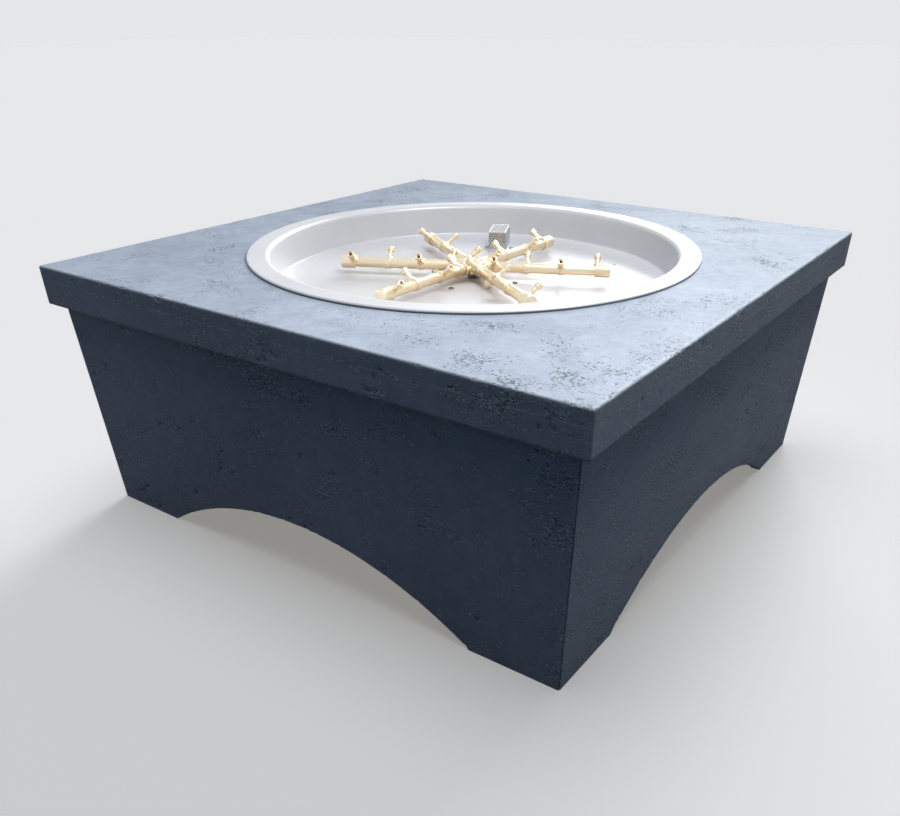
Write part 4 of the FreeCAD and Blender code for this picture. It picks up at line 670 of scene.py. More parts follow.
RIGHT_SPECKLE = 0.62
PIT_REACH = 1.6
CROWD_REACH = 2.6
GRID_LINES = 272
GRID_CROWDING = 0.25
CORNER_STATIONS = 4
ARRIS_ROWS = 6
APRON_ROWS = 21
TOP_SEED = 41
SLAB_CROWDS = 46
CORNER_CROWDS = 12
APRON_CROWDS = 16
FRONT_CHIP = (-248.0, 11.0, 3.0)  # place along the front, radius, depth

# Each kind of mark: how many there are, the span of their radii, and of their depths or strengths.
SLAB_PITS = (70, (2.0, 3.6), (0.5, 1.2))
SEAM_CROWDS = (26, (6, 16), (0.5, 1.0))
EDGE_CROWDS = (9, (12, 30), (0.5, 1.0))
ARRIS_CHIPS = (22, (2.5, 7.0), (0.5, 1.6))


def darkened(shape, how_dark):
    """Keep in the marks attribute how dark a steel piece is at each point."""
    dark = np.clip(how_dark(read(shape.data.vertices, "co") / MM), 0, 1)
    mark(shape, dark, dark, dark)


def carved(shape, pits, crowds, wear_and_highlight, skin):
    """Push the skin inwards: a slow unevenness, then a wavy-rimmed bowl for each pit (place, radius, depth).

    The marks attribute keeps how deep a point lies in a pit, which the finish paints dark as shade, how
    crowded the air holes are there, and how worn the edge is, which the finish paints lighter as wear and
    painted highlight. The right side is speckled all over. Skin is 1 where the cast face shows and 0
    where nothing is carved.
    """
    points = read(shape.data.vertices, "co") / MM
    order = np.argsort(points[:, 0])
    line = points[order, 0]

    def about(place, reach):
        low, high = np.searchsorted(line, (place[0] - reach, place[0] + reach))
        return order[low:high]

    ripple = 1.0 + 0.40 * waves(points, 12.0, 5) + 0.25 * waves(points, 6.0, 6)
    depth = 0.16 + 0.16 * waves(points, 90.0, 7)
    pit_mark = np.zeros(len(points))
    for place, radius, sink in pits:
        near = about(place, radius * PIT_REACH)
        gap = np.linalg.norm(points[near] - place, axis=1) * ripple[near] / radius
        bowl = np.clip(1.25 - gap ** 2, 0.0, 1.0)
        depth[near] = np.maximum(depth[near], bowl * sink)
        pit_mark[near] = np.maximum(pit_mark[near], bowl * min(1.0, sink / 1.5))
    crowd = RIGHT_SPECKLE * (points[:, 0] > BASE_TOP_HALF - 60) * (points[:, 2] < TOP_Z - 2)
    for place, radius, strength in crowds:
        near = about(place, radius * CROWD_REACH)
        gap = np.linalg.norm((points[near] - place) * (1.0, 1.0, 1.35), axis=1) / radius
        crowd[near] = np.maximum(crowd[near], strength * np.exp(-gap ** 2))
    cover = skin(points)
    points -= read(shape.data.vertex_normals, "vector") * (np.clip(depth, 0, None) * cover)[:, None]
    shape.data.vertices.foreach_set("co", (points * MM).astype(np.float32).ravel())
    mark(shape, pit_mark * cover, crowd, wear_and_highlight(points))
    shape.data.update()


def scatter(rng, centres, spread, least, most, number):
    """Pits and crowds about a list of centres; spread gives the two ways in the face and their lengths."""
    pits = []
    crowds = []
    (way_a, length_a), (way_b, length_b) = spread
    for centre in centres:
        size = rng.uniform(0.35, 1.0)
        crowds.append((centre, 16.0 + 30.0 * size, rng.uniform(0.45, 1.0)))
        for _ in range(int(rng.integers(2, number) * size) + 1):
            shift = way_a * rng.normal() * length_a * size + way_b * rng.normal() * length_b * size
            radius = least + (most - least) * rng.random() ** 2.2
            pits.append((centre + shift, radius, rng.uniform(0.5, 1.3) * radius * 0.36))
    return pits, crowds


def several(rng, kind, place):
    """Marks of one kind, each at a place that is drawn for it."""
    number, radii, depths = kind
    return [(place(), rng.uniform(*radii), rng.uniform(*depths)) for _ in range(number)]


def top_half(height):
    """Half the top's outer width at a height."""
    return TOP_HALF - APRON_DRAFT * (TOP_Z - height) / (TOP_Z - APRON_Z)


def square_run(lines):
    """Once round a square of half width 1: places and outward ways, with a fan of ways at each corner."""
    places = []
    ways = []
    fan = np.radians(90 * np.arange(1, CORNER_STATIONS) / CORNER_STATIONS)[:, None]
    for quarter in range(4):
        along, out = (way[:2] for way in face_ways(90 * quarter))
        places += [along * lines[:, None] + out, np.repeat([along + out], len(fan), axis=0)]
        ways += [np.repeat([out], len(lines), axis=0), out * np.cos(fan) + along * np.sin(fan)]
    return np.concatenate(places), np.concatenate(ways)


def band(places, ways, rows):
    """Rows of (half width, way out, height) carried round the places and their outward ways."""
    half, out, height = np.asarray(rows, float).T[..., None]
    return raised(places * half[..., None] + ways * out[..., None], height)


def cast_top():
    """Slab with its apron: a grid of lines that crowd towards the edges, opened round the hole, whose edge
    is carried over the arris, down the apron, round its foot, up the inside and in to the hole's wall."""
    line = np.linspace(-1, 1, GRID_LINES + 1)
    line = line * (1 + GRID_CROWDING) - line ** 3 * GRID_CROWDING
    shoulder = top_half(TOP_Z - TOP_ARRIS) - TOP_ARRIS
    points, quads = grid(spots(*np.meshgrid(line * shoulder, line * shoulder), TOP_Z))
    reach = np.hypot(points[:, 0], points[:, 1])
    rim = HOLE_RADIUS + HOLE_ARRIS
    kept = (reach[quads] > rim + 2.0).all(axis=1)
    inner = np.intersect1d(np.unique(quads[kept]), np.unique(quads[~kept]))
    points[inner, :2] *= (rim / reach[inner])[:, None]
    ring = flat_ways(np.sort(np.arctan2(points[inner, 1], points[inner, 0])))
    wall = band(ring, ring * 0, ((rim, 0, TOP_Z), (HOLE_RADIUS, 0, TOP_Z - HOLE_ARRIS),
                                 (HOLE_RADIUS, 0, SLAB_UNDER)))
    bend = np.radians(np.linspace(0, 90, ARRIS_ROWS))
    fall = np.linspace(TOP_Z - TOP_ARRIS, APRON_Z + TOP_ARRIS, APRON_ROWS)[1:-1]
    heel = top_half(APRON_Z + TOP_ARRIS) - TOP_ARRIS
    inside = top_half(APRON_Z) - APRON_WALL
    inside_top = inside + APRON_DRAFT * (SLAB_UNDER - APRON_Z) / (TOP_Z - APRON_Z)
    apron = band(*square_run(line), np.concatenate((
        spots(shoulder, TOP_ARRIS * np.sin(bend), TOP_Z - TOP_ARRIS * (1 - np.cos(bend))),
        spots(top_half(fall) - TOP_ARRIS, TOP_ARRIS, fall),
        spots(heel, TOP_ARRIS * np.cos(bend), APRON_Z + TOP_ARRIS * (1 - np.sin(bend))),
        ((inside, 0, APRON_Z), (inside_top, 0, SLAB_UNDER)))))
    patches = [(points, quads[kept]), grid(wall, around=True), grid(apron, around=True),
               zipped(apron[-1], wall[-1])]
    carved(piece("cast_top", patches, "table_top"), *top_marks(), worn_and_highlit_top, top_skin)


def zipped(outer, inner):
    """Flat ring between two loops about the origin: each point makes a triangle with its last neighbours."""
    angles = [np.arctan2(loop[:, 1], loop[:, 0]) for loop in (outer, inner)]
    loops = [loop[np.argsort(angle, kind="stable")] for loop, angle in zip((outer, inner), angles)]
    order = np.argsort(np.concatenate([np.sort(angle) for angle in angles]), kind="stable")
    neighbours = []
    for own, last in ((order < len(outer), len(outer) - 1), (order >= len(outer), len(order) - 1)):
        latest = np.maximum.accumulate(np.where(own, np.arange(len(order)), -1))
        neighbours.append(np.roll(np.where(latest >= 0, order[latest], last), 1))
    before_outer, before_inner = neighbours
    return np.concatenate(loops), spots(before_outer, order, before_inner, before_inner)


def top_skin(points):
    """1 on the faces that show from outside, fading to 0 at the hole, the inside and the underside."""
    reach = np.hypot(points[:, 0], points[:, 1])
    wide = np.abs(points[:, :2]).max(axis=1)
    upper = np.clip((reach - HOLE_RADIUS - HOLE_ARRIS - 2) / 8, 0, 1) * (points[:, 2] > TOP_Z - 1)
    outer = (wide > top_half(points[:, 2]) - 1.5) & (points[:, 2] < TOP_Z - 0.5)
    return np.maximum(upper, outer)


def worn_and_highlit_top(points):
    """1 along the top arris and the upright edges, with patches of more and less: wear and a painted
    highlight along the arrises.
    """
    wide = np.abs(points[:, :2])
    half = top_half(points[:, 2])
    near_side = np.exp(-((1 - wide.max(axis=1) / half) * TOP_HALF / 5) ** 2)
    near_top = np.exp(-((TOP_Z - points[:, 2]) / 4) ** 2)
    corner = np.exp(-((wide.min(axis=1) / half - 1) * TOP_HALF / 5) ** 2)
    patch = 0.6 + 0.4 * waves(points, 60.0, 8)
    return np.clip(near_side * np.maximum(near_top, corner * 0.6) * patch, 0, 1)


def top_marks():
    """Pits on the slab, crowded about the front right corner, on the apron and along its arrises."""
    rng = np.random.default_rng(TOP_SEED)
    centres = []
    while len(centres) < SLAB_CROWDS:
        spot = rng.uniform(-TOP_HALF + 8, TOP_HALF - 8, 2)
        if np.hypot(*spot) > PAN_FLANGE_RADIUS + 12:
            centres.append(np.array((*spot, TOP_Z)))
    corner = np.array((TOP_HALF - 70, -TOP_HALF + 70, TOP_Z))
    centres += [corner + np.array((*rng.normal(0, 60, 2), 0)) for _ in range(CORNER_CROWDS)]
    centres = [np.clip(c, (-TOP_HALF, -TOP_HALF, 0), (TOP_HALF, TOP_HALF, TOP_Z)) for c in centres]
    pits, crowds = scatter(rng, centres, ((X_WAY, 26.0), (Y_WAY, 26.0)), 2.2, 5.5, 8)
    for quarter in range(4):
        along, out = face_ways(90 * quarter)

        def on_side(span, half, height):
            return along * rng.uniform(-span, span) + out * half + Z_WAY * height

        def on_seam():
            return on_side(600, top_half(SEAM_Z), 0) + Z_WAY * (SEAM_Z + rng.normal() * 1.5)

        def on_edge():
            spot = (along + out) * (TOP_HALF - 4) + Z_WAY * rng.uniform(APRON_Z, TOP_Z)
            return spot + rng.normal(0, 22, 3) * (1, 1, 0.4)

        heights = (rng.uniform(APRON_Z + 8, TOP_Z - 6) for _ in range(APRON_CROWDS))
        middles = [on_side(580, top_half(height), height) for height in heights]
        more, crowd = scatter(rng, middles, ((along, 34.0), (Z_WAY, 8.0)), 2.2, 5.0, 12)
        pits += more
        crowds += crowd + several(rng, SEAM_CROWDS, on_seam) + several(rng, EDGE_CROWDS, on_edge)
        pits += several(rng, ARRIS_CHIPS, lambda: on_side(600, TOP_HALF, TOP_Z))
    span = TOP_HALF - 5
    pits += several(rng, SLAB_PITS, lambda: np.array((*rng.uniform(-span, span, 2), TOP_Z)))
    across, radius, depth = FRONT_CHIP
    pits.append((np.array((across, -TOP_HALF, TOP_Z)), radius, depth))
    return pits, crowds


# ---- leaning base panels

PANEL_COLUMNS = 340
PANEL_ROWS = 136
HEM_ROWS = 4
SOLE_ROWS = 5
ARCH_PASSES = 8
PANEL_SEED = 60
CHEEK_FAN = (12, 24, 35)
CHEEK_BACKS = (3.5, BASE_WALL)
PANEL_CROWDS = 30
SIDE_CROWDS = 22
PANEL_PITS = (45, (2.0, 3.4), (0.4, 1.0))
ARCH_CHIPS = (26, (2.0, 6.0), (0.4, 1.3))


def base_half(height):
    """Half the base's outer width at a height."""
    return BASE_TOP_HALF + MITRE_GAP / 2 - BASE_LEAN * (SLAB_UNDER - height)


def arch_height(across):
    """Height of the arch over a place across the panel, 0 outside the span."""
    inside = np.clip(ARCH_RADIUS ** 2 - across ** 2, 0, None)
    return np.clip(ARCH_RISE - ARCH_RADIUS + np.sqrt(inside), 0, None)


def panel_columns():
    """Shares of the half width, with a column on each foot of the arch."""
    foot = ARCH_SPAN / 2 / base_half(0)
    inner = int(PANEL_COLUMNS * foot)
    outer = (PANEL_COLUMNS - inner) // 2
    return np.concatenate((np.linspace(-1, -foot, outer + 1)[:-1], np.linspace(-foot, foot, inner + 1),
                           np.linspace(foot, 1, outer + 1)[1:]))


def on_panel(share, height, inset=0.0):
    """Points of the front panel: a share of the half width at a height, a depth behind the face."""
    half = base_half(height)
    return spots(share * (half - BASE_ARRIS), -(half - inset), height)


def cast_panel(name, degrees, seed):
    """Leaning panel: a sheet of straight lines from the arch to the top edge, rounded into the mitres at
    its sides and into the arch below, with a flat face behind. Nothing passes the mitre."""
    share = panel_columns()
    low = np.zeros_like(share)
    for _ in range(ARCH_PASSES):
        low = arch_height(share * base_half(low))
    low = np.where(np.abs(share) * base_half(0) > ARCH_SPAN / 2 - 0.01, 0.0, low)
    rise = np.linspace(0, 1, PANEL_ROWS + 1)[:, None]
    edge = np.where(low > 0, ARCH_ARRIS, 0.0) * np.clip(low / 6.0, 0, 1)
    face = on_panel(share, (low + edge) + (SLAB_UNDER - low - edge) * rise)
    bend = np.radians(np.linspace(0, 90, HEM_ROWS))[:, None][1:]
    hem = on_panel(share, low + edge * (1 - np.sin(bend)), edge * (1 - np.cos(bend)))
    depth = np.linspace(0, 1, SOLE_ROWS)[:, None, None][1:]
    sole = hem[-1] * (1 - depth) + on_panel(share, low, BASE_WALL) * depth
    head = on_panel(share, SLAB_UNDER, BASE_WALL)
    sheet = np.concatenate((sole[::-1], hem[::-1], face, head[None]))
    mitre = -sheet[..., 1] - MITRE_GAP / 2
    sheet[..., 0] = np.clip(sheet[..., 0], -mitre, mitre)
    patches = [sheet]
    for sign, column in ((-1, 0), (1, -1)):
        start = sheet[:, column]
        half = base_half(start[:, 2])
        deep = start[:, 1] + half
        insets = [[BASE_ARRIS * (1 - math.sin(angle)), BASE_ARRIS * (1 - math.cos(angle))]
                  for angle in np.radians(CHEEK_FAN)]
        insets += [[back + MITRE_GAP / 2, back] for back in CHEEK_BACKS]
        strips = [start]
        for aside, back in insets:
            x = sign * np.minimum(half - aside, half - deep - MITRE_GAP / 2)
            strips.append(spots(x, np.maximum(-(half - back), -half + deep), start[:, 2]))
        patches.append(np.stack(strips, axis=1))
    shape = piece(name, [turned(grid(patch), degrees) for patch in patches], name.replace("cast_", ""))
    reworked(shape.data, filled, outwards)
    smoothed(shape.data, SHARP)
    carved(shape, *panel_marks(degrees, seed), worn_and_highlit_panel, panel_skin)


def face_depth(points):
    """How far a point lies behind the base's outer faces."""
    return base_half(points[:, 2]) - np.abs(points[:, :2]).max(axis=1)


def panel_skin(points):
    """1 on a panel's outer face, less down the arch's edge, 0 behind and under the table's top."""
    across = np.abs(points[:, :2]).min(axis=1)
    mitre = np.clip((base_half(points[:, 2]) - across) / 6, 0, 1)
    foot = np.clip(points[:, 2] / 3, 0, 1)
    return np.clip(1 - face_depth(points) / 14, 0, 1) * mitre * foot * (points[:, 2] < SLAB_UNDER - 1)


def worn_and_highlit_panel(points):
    """Wear and a painted highlight along the arch and the upright corners."""
    across = np.abs(points[:, :2]).min(axis=1)
    corner = np.exp(-((base_half(points[:, 2]) - across) / 4) ** 2)
    arch = np.exp(-((points[:, 2] - arch_height(across)) / 3.5) ** 2)
    patch = 0.55 + 0.45 * waves(points, 70.0, 9)
    return np.clip(np.maximum(corner, arch) * np.exp(-face_depth(points) / 6) * patch, 0, 1)


def panel_marks(degrees, seed):
    """Pits on one panel: wide flat crowds, scattered single holes and chips along the arch."""
    rng = np.random.default_rng(seed)
    along, out = face_ways(degrees)

    def on_face(across, height):
        return along * across + out * base_half(height) + Z_WAY * height

    def on_arch():
        across = rng.uniform(-1, 1) * ARCH_SPAN / 2
        return on_face(across, arch_height(across))

    centres = []
    while len(centres) < PANEL_CROWDS:
        height = rng.uniform(8, APRON_Z - 4)
        across = rng.uniform(-1, 1) * (base_half(height) - 14)
        if height > arch_height(across) + 6:
            centres.append(on_face(across, height))
    pits, crowds = scatter(rng, centres, ((along, 34.0), (Z_WAY, 13.0)), 2.0, 6.0, 18)
    pits += several(rng, PANEL_PITS, lambda: on_face(height=rng.uniform(4, APRON_Z),
                                                     across=rng.uniform(-540, 540)))
    for _ in range(SIDE_CROWDS):
        height = rng.uniform(0, APRON_Z)
        for sign in (-1, 1):
            spot = on_face(sign * (base_half(height) - rng.uniform(0, 1) ** 2 * 130), height)
            crowds.append((spot, rng.uniform(10, 34), rng.uniform(0.4, 0.95)))
    return pits + several(rng, ARCH_CHIPS, on_arch), crowds


# ---- spun pan

PAN_STATIONS = 400
PAN_SHARP = 50.0
DRAIN_CELLS = 4
DRAIN_SHIFT = 3
DRAIN_STEPS = (0, 0.45, 0.8, 1)


def pan_skin(offset):
    """Upper skin of the pan from its centre hole to the foot of its hem, moved down by an offset.

    Rows of (radius, height): floor, floor roll, steep wall, lip roll, flange, hem."""
    tilt = math.atan2(PAN_WALL_TAPER, PAN_FLANGE_Z - PAN_FLOOR)
    across = math.tan((math.pi / 2 - tilt) / 2) * offset
    foot = PAN_WALL_RADIUS - PAN_WALL_TAPER + across
    lip = PAN_WALL_RADIUS + across
    floor_z = PAN_FLOOR - offset
    flange_z = PAN_FLANGE_Z - offset
    rim = PAN_FLANGE_RADIUS - offset
    radii = np.concatenate(((PAN_CENTRE_HOLE,), np.linspace(24, 300, 12), np.linspace(316, 348, 9),
                            np.linspace(366, foot - 14, 3)))
    corners = ((foot - 14, floor_z), (foot, floor_z), (lip, flange_z), (rim, flange_z), (rim, TOP_Z))
    rolls = (0, 5.0 + offset * 0.8, 9.5 - offset * 0.6, 3.6 - offset * 0.8, 0)
    shaped = eased(corners, rolls, 7)
    return np.concatenate((spots(radii, floor_z), shaped[1:9], between(shaped[8], shaped[9], 6),
                           shaped[9:17], between(shaped[16], shaped[17], 5), shaped[17:]))


def between(start, end, count):
    """Points between two others, without them."""
    t = np.linspace(0, 1, count + 2)[1:-1, None]
    return start * (1 - t) + end * t


def drain_rings(sheet, low, left, centre):
    """Rings that close in on a round drain from the edge of a block of cells."""
    high, right = low + DRAIN_CELLS, left + DRAIN_CELLS
    loop = np.concatenate((sheet[low, left:right], sheet[low:high, right], sheet[high, right:left:-1],
                           sheet[high:low:-1, left]))
    spoke = loop[:, :2] - centre
    circle = loop.copy()
    circle[:, :2] = centre + spoke / np.linalg.norm(spoke, axis=1)[:, None] * DRAIN_RADIUS
    t = np.array(DRAIN_STEPS)[:, None, None]
    return loop * (1 - t) + circle * t


def spun_pan():
    """Pan as two skins turned about its axis, a sheet apart, joined at the centre hole and the hem, with
    four drilled drains."""
    ways = flat_ways(full_turn(PAN_STATIONS) + math.radians(DRAIN_ANGLE))
    patches = []
    edges = []
    for offset in (0.0, PAN_SHEET):
        profile = pan_skin(offset)
        low = int(np.argmin(np.abs(profile[:, 0] - (DRAIN_CIRCLE - 8))))
        sheet = np.roll(raised(profile[:, None, :1] * ways, profile[:, 1:]), DRAIN_SHIFT, axis=1)
        points, quads = grid(sheet, around=True)
        whole = np.ones((len(profile) - 1, PAN_STATIONS), bool)
        rings = []
        for index in range(4):
            left = index * PAN_STATIONS // 4 + 1
            whole[low:low + DRAIN_CELLS, left:left + DRAIN_CELLS] = False
            rings.append(drain_rings(sheet, low, left, DRAIN_CIRCLE * way_at(DRAIN_ANGLE + 90 * index)))
        patches += [(points, quads[whole.ravel()])] + [grid(ring, around=True) for ring in rings]
        edges.append([ring[-1] for ring in rings] + [sheet[0], sheet[-1]])
    patches += [grid(np.stack(pair), around=True) for pair in zip(*edges)]
    piece("spun_pan", patches, "fire_pan", PAN_SHARP)


# ---- burner

def jet_way(index):
    """Way out of a jet on an arm along +X: stations tilt to alternate sides."""
    side = -1 if index % 2 == 0 else 1
    tilt = math.radians(JET_TILT)
    return np.array((0.0, side * math.sin(tilt), math.cos(tilt)))


def on_arm(corners, rounds, steps, station=0.0, way=X_WAY, stations=40):
    """Profile with eased corners, turned about the pipe's axis or about a jet's."""
    return lathe(eased(corners, rounds, steps), (station, 0, PIPE_Z), way, stations)


def arm_pipe():
    """Open pipe with eased rims."""
    end = ARM_LENGTH - CAP_WALL
    corners = ((ARM_START, PIPE_BORE), (ARM_START, PIPE_RADIUS), (end, PIPE_RADIUS), (end, PIPE_BORE))
    return on_arm(corners, 0.5, 2)


def arm_cap():
    """Cup over the pipe's end with a rounded rim, a shallow groove and a boss for its jet."""
    start = ARM_LENGTH - CAP_LENGTH
    end = ARM_LENGTH - CAP_WALL
    groove = start + 5.5
    waist = CAP_RADIUS - 0.6
    corners = ((start, PIPE_SOCKET), (start, CAP_RADIUS), (groove, CAP_RADIUS), (groove + 0.5, waist),
               (groove + 1.7, waist), (groove + 2.2, CAP_RADIUS), (ARM_LENGTH, CAP_RADIUS), (ARM_LENGTH, 0),
               (end, 0), (end, PIPE_SOCKET))
    rounds = (0.3, 1.2, 0.2, 0.2, 0.2, 0.2, 2.0, 0, 0, 0.3)
    return [on_arm(corners, rounds, 3), boss(len(JET_STATIONS) - 1, CAP_RADIUS)]


def boss(index, root):
    """Short stub round a jet's foot, flared where it leaves the pipe."""
    bore = JET_TUBE_RADIUS + 0.1
    corners = ((root - 3.0, BOSS_RADIUS + 1.6), (root + 0.2, BOSS_RADIUS + 0.9),
               (BOSS_REACH - 1.8, BOSS_RADIUS), (BOSS_REACH, BOSS_RADIUS), (BOSS_REACH, bore),
               (root - 3.0, bore))
    return on_arm(corners, (0, 0.4, 0.4, 0.7, 0.2, 0), 3, JET_STATIONS[index], jet_way(index), 32)


def jet_collar(index):
    """Ring clamped round the pipe, crowned across its width, with a boss for the jet."""
    half = COLLAR_WIDTH / 2
    outer = PIPE_SOCKET + COLLAR_WALL
    corners = ((-half, PIPE_SOCKET), (-half, outer), (half, outer), (half, PIPE_SOCKET))
    return [on_arm(corners, 0.55, 3, JET_STATIONS[index]), boss(index, outer)]


def jet(index):
    """Tube with a wider open head: ring groove behind the head, bevelled rims, a stepped dark bore."""
    head = JET_REACH - JET_HEAD_LENGTH
    tube, neck = JET_TUBE_RADIUS, JET_TUBE_RADIUS - 0.5
    wide, waist = JET_HEAD_RADIUS, JET_HEAD_RADIUS - 0.45
    corners = ((JET_ROOT, JET_TUBE_BORE), (JET_ROOT, tube), (head - 3.4, tube), (head - 3.0, neck),
               (head - 1.8, neck), (head - 1.4, tube), (head, tube), (head, wide), (head + 3.6, wide),
               (head + 4.0, waist), (head + 5.0, waist), (head + 5.4, wide), (JET_REACH, wide),
               (JET_REACH, JET_HEAD_BORE), (JET_REACH - JET_HEAD_DEPTH, JET_HEAD_BORE),
               (JET_REACH - JET_HEAD_DEPTH, JET_TUBE_BORE))
    rounds = (0, 0.3, 0.1, 0.1, 0.1, 0.1, 0.2, 1.0, 0.15, 0.15, 0.15, 0.15, 1.0, 0.5, 0.2, 0.2)
    return on_arm(corners, rounds, 2, JET_STATIONS[index], jet_way(index), 28)


def burner():
    """Six arms with their collars, caps and jets, turned to their places."""
    caps = []
    collars = []
    for order, side in enumerate(ARM_NAMES):
        angle = ARM_ANGLE + ARM_STEP * order
        piece("arm_pipe_" + side, [turned(arm_pipe(), angle)], "burner_arm_" + side)
        jets = [turned(jet(index), angle) for index in range(len(JET_STATIONS))]
        piece("arm_jets_" + side, jets, "burner_jets_" + side)
        caps += [turned(patch, angle) for patch in arm_cap()]
        for index in range(len(JET_STATIONS) - 1):
            collars += [turned(patch, angle) for patch in jet_collar(index)]
    piece("end_cap_set", caps, "arm_end_caps")
    piece("collar_set", collars, "jet_collars")
    machined("burner_hub", 0.5, "cast_hub", segments=3)
    machined("burner_legs", 0.5, "hex_legs")
    machined("riser_nipple", 0.3, "riser_pipe")


RING_STATIONS = RING_NUT_TEETH * 6
HEX_STATIONS = 96
HEX_ROWS = 13
HEX_CROWN = 0.2
HEX_SLOPE = 1.7
NUT_SHARP = 40.0
# Painted shade on the ring nut.
NUT_SHADE = 0.75
BOLT_SOOT = 0.7


def ring_nut():
    """Ring nut above the pan's floor: its radius falls between the teeth of its knurl; the whole ring is
    painted dark as shade.
    """
    corners = ((0, PIPE_SOCKET), (0, RING_NUT_RADIUS), (NUT_HEIGHT, RING_NUT_RADIUS),
               (NUT_HEIGHT, PIPE_SOCKET))
    rows = eased(corners, (0.2, 0.8, 0.8, 0.2), 3)
    points, quads = lathe(rows, (0, 0, PAN_FLOOR + RISER_WASHER), Z_WAY, RING_STATIONS)
    valley = 0.5 - 0.5 * np.cos(RING_NUT_TEETH * full_turn(RING_STATIONS))
    outer = np.clip((rows[:, 1] - PIPE_SOCKET - 0.8) / 0.6, 0, 1)
    shrink = 1 - outer[:, None] * valley * RING_NUT_CUT / RING_NUT_RADIUS
    return points * spots(shrink, shrink, 1).reshape(-1, 3), quads


def hex_nut(foot, flats, height, bore, turn):
    """Upright hexagonal nut: at each height and way round, the nearer of the flats and the cone that breaks
    the corners at both ends."""
    rise = np.linspace(0, height, HEX_ROWS)[:, None]
    way = full_turn(HEX_STATIONS)
    off = np.mod(way - math.radians(turn), np.pi / 3) - np.pi / 6
    cone = flats / 2 + HEX_CROWN + HEX_SLOPE * np.minimum(rise, height - rise)
    radius = np.minimum(flats / 2 / np.cos(off), cone)
    skin = raised(radius[..., None] * flat_ways(way), rise)
    inner = raised(bore * flat_ways(way), 0)
    skin = np.concatenate((inner[None], skin, (inner + Z_WAY * height)[None]))
    return grid(skin + Z_WAY * foot, around=True, along=True)


def riser_nuts():
    """Knurled ring nut over the pan's floor and hexagonal locknut under the bracket."""
    low = node_box("riser_locknuts")[0][2]
    lock = hex_nut(low, LOCKNUT_FLATS, NUT_HEIGHT, PIPE_SOCKET, LOCKNUT_TURN)
    shape = piece("riser_nut_pair", [ring_nut(), lock], "riser_locknuts", NUT_SHARP)
    # Painted shade: the ring nut over the pan's floor is darkened whole, as shade under the hub.
    darkened(shape, lambda points: NUT_SHADE * (points[:, 2] > PAN_FLOOR))


# ---- perforated cage

CELL_EDGE = np.array(((-.5, -.5), (-.25, -.5), (0, -.5), (.25, -.5), (.5, -.5), (.5, 0), (.5, .5), (.25, .5),
                      (0, .5), (-.25, .5), (-.5, .5), (-.5, 0)))
CAGE_HALF = np.array((CAGE_WIDTH, CAGE_LENGTH)) / 2
CAGE_SHARP = 50.0
CAGE_BEND = 7


def cage_wall(share, inset):
    """Place on the cage's outline at a share of the way round it, set in from the outer skin, and the way
    once round."""
    turn = np.radians(np.linspace(0, 90, CAGE_BEND))
    places = []
    ways = []
    for quarter, signs in enumerate(((1, 1), (-1, 1), (-1, -1), (1, -1))):
        ways.append(flat_ways(turn + math.radians(90 * quarter)))
        places.append((CAGE_HALF - CAGE_ROUND) * signs + ways[-1] * CAGE_ROUND)
    places, ways = (np.concatenate(rows + [rows[0][:1]]) for rows in (places, ways))
    steps = run_along(places)
    return picked(np.mod(share, 1.0) * steps[-1], steps, places - ways * inset), steps[-1]


def cell_rings(middles, size):
    """Outline of each cell and the round hole in it, as flat points."""
    spoke = CELL_EDGE * size
    circle = spoke / np.linalg.norm(spoke, axis=1)[:, None] * CAGE_HOLE_RADIUS
    return middles[:, None] + spoke, middles[:, None] + circle


def cage_side():
    """Wall of the cage: staggered rows of holes wrapped round the rounded outline, with plain strips above
    and below and a notch over each ear."""
    girth = cage_wall(np.zeros(1), 0)[1]
    pitch = girth / CAGE_COLUMNS
    rise = pitch * math.sqrt(3) / 2
    column, row = np.meshgrid(np.arange(CAGE_COLUMNS), np.arange(CAGE_ROWS))
    middles = spots((column + 0.5 * (row % 2)) * pitch, CAGE_SKIRT + (row + 0.5) * rise).reshape(-1, 2)
    cell, hole = cell_rings(middles, (pitch, rise))

    def wrapped(flat, inset):
        return raised(cage_wall(flat[..., 0] / girth, inset)[0], flat[..., 1])

    rings = [wrapped(*ring) for ring in ((cell, 0), (hole, 0), (hole, CAGE_SHEET), (cell, CAGE_SHEET))]
    run = np.arange(4 * CAGE_COLUMNS) * pitch / 4
    place = cage_wall(run / girth, 0)[0]
    notch = (np.abs(place[:, 1]) < EAR_WIDTH / 2 + 1) & (np.abs(place[:, 0]) > CAGE_WIDTH / 2 - CAGE_ROUND)
    order = np.repeat(np.arange(len(run)), 1 + (notch != np.roll(notch, 1)))
    first = np.append(order[1:] == order[:-1], False)
    foot = np.where(notch[order - first], EAR_NOTCH, 0.0)
    top = CAGE_SKIRT + CAGE_ROWS * rise
    patches = [grid(np.stack(rings, axis=1), around=True)]
    for inset, roof in ((0.0, CAGE_HEIGHT), (CAGE_SHEET, CAGE_HEIGHT - CAGE_SHEET)):
        for low, high, lane in ((foot, CAGE_SKIRT, run[order]), (top, roof, run)):
            ends = np.stack((spots(lane, low), spots(lane, high)))
            patches.append(grid(wrapped(ends, inset), around=True))
    hem = spots(run[order], foot)
    patches.append(grid(np.stack((wrapped(hem, 0), wrapped(hem, CAGE_SHEET))), around=True))
    return patches, run / girth, pitch, rise


